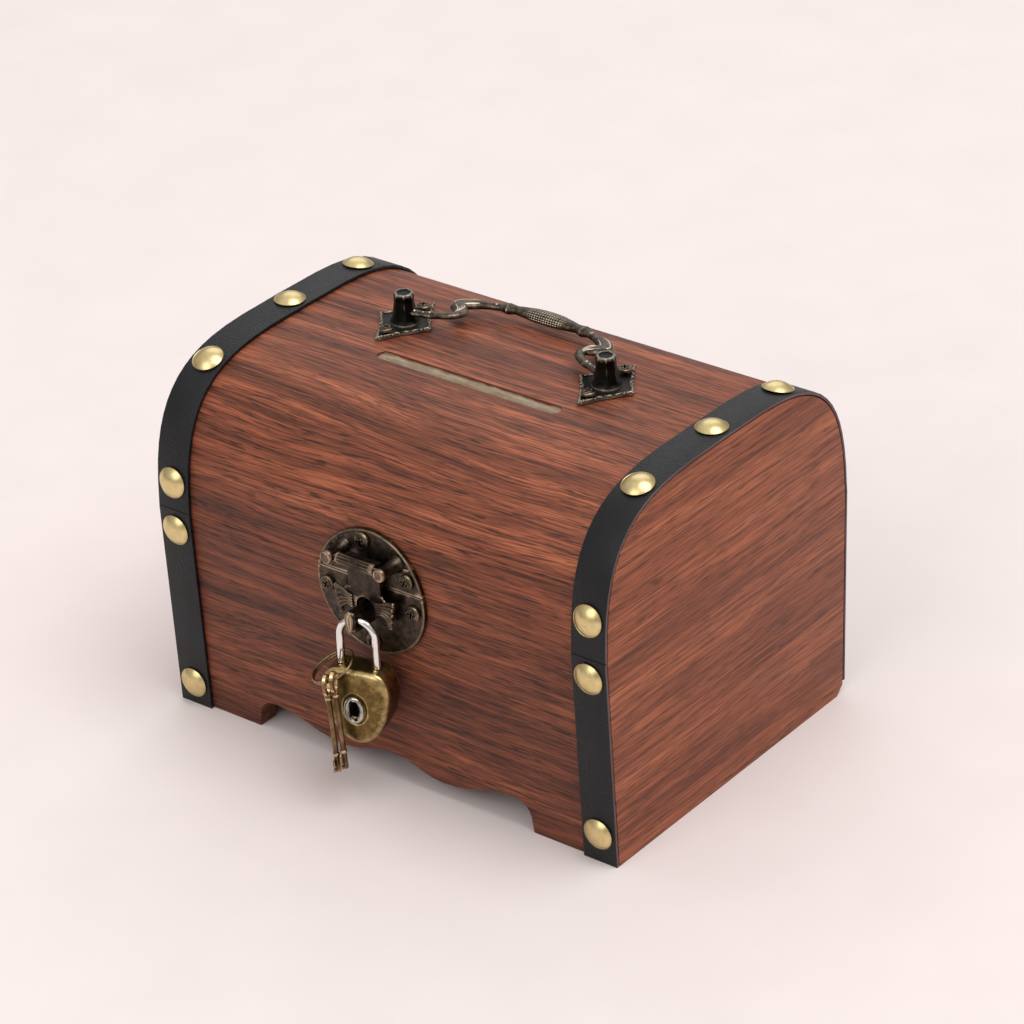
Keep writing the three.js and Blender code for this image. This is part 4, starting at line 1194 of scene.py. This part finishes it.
for side in ("left", "right"):
    back_hinge(f"{side}_hinge_case_leaf", low(f"{side}_hinge_case_leaf").z + HINGE_SCREW_IN)
    back_hinge(f"{side}_hinge_lid_leaf", high(f"{side}_hinge_lid_leaf").z - HINGE_SCREW_IN)


# ---------- floor, light and camera ----------
FLOOR_HALF = 8000
FLOOR_THICK = 20
LIGHT_AIM = Vector((0, 0, 0.05))  # metres
SKY_TINT = (1.0, 0.985, 0.975)
CAMERA_CLIP = (0.05, 20)  # metres


def direction(azimuth, elevation):
    """The way out to a place, in degrees, with azimuth 0 in front of the box and 90 at its right."""
    a, e = radians(azimuth), radians(elevation)
    return Vector((sin(a) * cos(e), -cos(a) * cos(e), sin(e)))


def floor():
    mesh = solid_mesh("floor", [slab(rectangle(FLOOR_HALF, FLOOR_HALF), -FLOOR_THICK, 0)])
    n = Nodes("pale_floor")
    mottle = n.noise(n.place, 30, 3, 0.5)
    colour = n.ramp(mottle, (0.3, linear((230, 219, 217))), (0.7, linear((233, 222, 220))))
    mesh.materials.append(n.finish(colour, 0.9, n.bump(mottle, 0.1, 0.2)))
    ground = new_object("floor", mesh)


def area_light(name, azimuth, elevation, distance, size, power):
    lamp = bpy.data.lights.new(name, "AREA")
    lamp.shape, lamp.size, lamp.energy = "DISK", size, power
    holder = new_object(name, lamp)
    away = direction(azimuth, elevation)
    holder.location = away * distance + LIGHT_AIM
    holder.rotation_mode = "QUATERNION"
    holder.rotation_quaternion = away.to_track_quat("Z", "Y")


def world_light(horizon, zenith):
    """A plain sky that is brighter overhead than at the horizon."""
    scene.world = bpy.data.worlds.new("studio")
    n = Nodes("sky", scene.world)
    limits = {"Value": n.height(), "From Min": 0.0, "From Max": 0.9, "To Min": horizon, "To Max": zenith}
    n.fill("Background", {"Color": SKY_TINT, "Strength": n.node("MapRange", limits)})


def camera():
    data = bpy.data.cameras.new("camera")
    data.lens, data.sensor_width = CAMERA_LENS, CAMERA_SENSOR
    data.clip_start, data.clip_end = CAMERA_CLIP
    holder = new_object("camera", data)
    a, roll = radians(CAMERA_AZIMUTH), radians(CAMERA_ROLL)
    back = direction(CAMERA_AZIMUTH, CAMERA_ELEVATION)
    level = Vector((cos(a), sin(a), 0))
    upright = back.cross(level)
    right = cos(roll) * level + sin(roll) * upright
    up = cos(roll) * upright - sin(roll) * level
    spot = FOOT + back * CAMERA_DISTANCE - right * AIM_RIGHT + up * AIM_UP
    turn = Matrix((right, up, back)).transposed().to_4x4()
    holder.matrix_world = Matrix.Translation(spot * MM) @ turn
    bpy.context.scene.camera = holder


floor()
world_light(horizon=0.28, zenith=0.82)
area_light("key", 100, 68, 3.0, 2.2, 40)
area_light("fill", 0, 36, 3.0, 2.2, 22)
area_light("back", 215, 36, 3.0, 2.4, 12)
camera()
scene.view_settings.view_transform = "Standard"
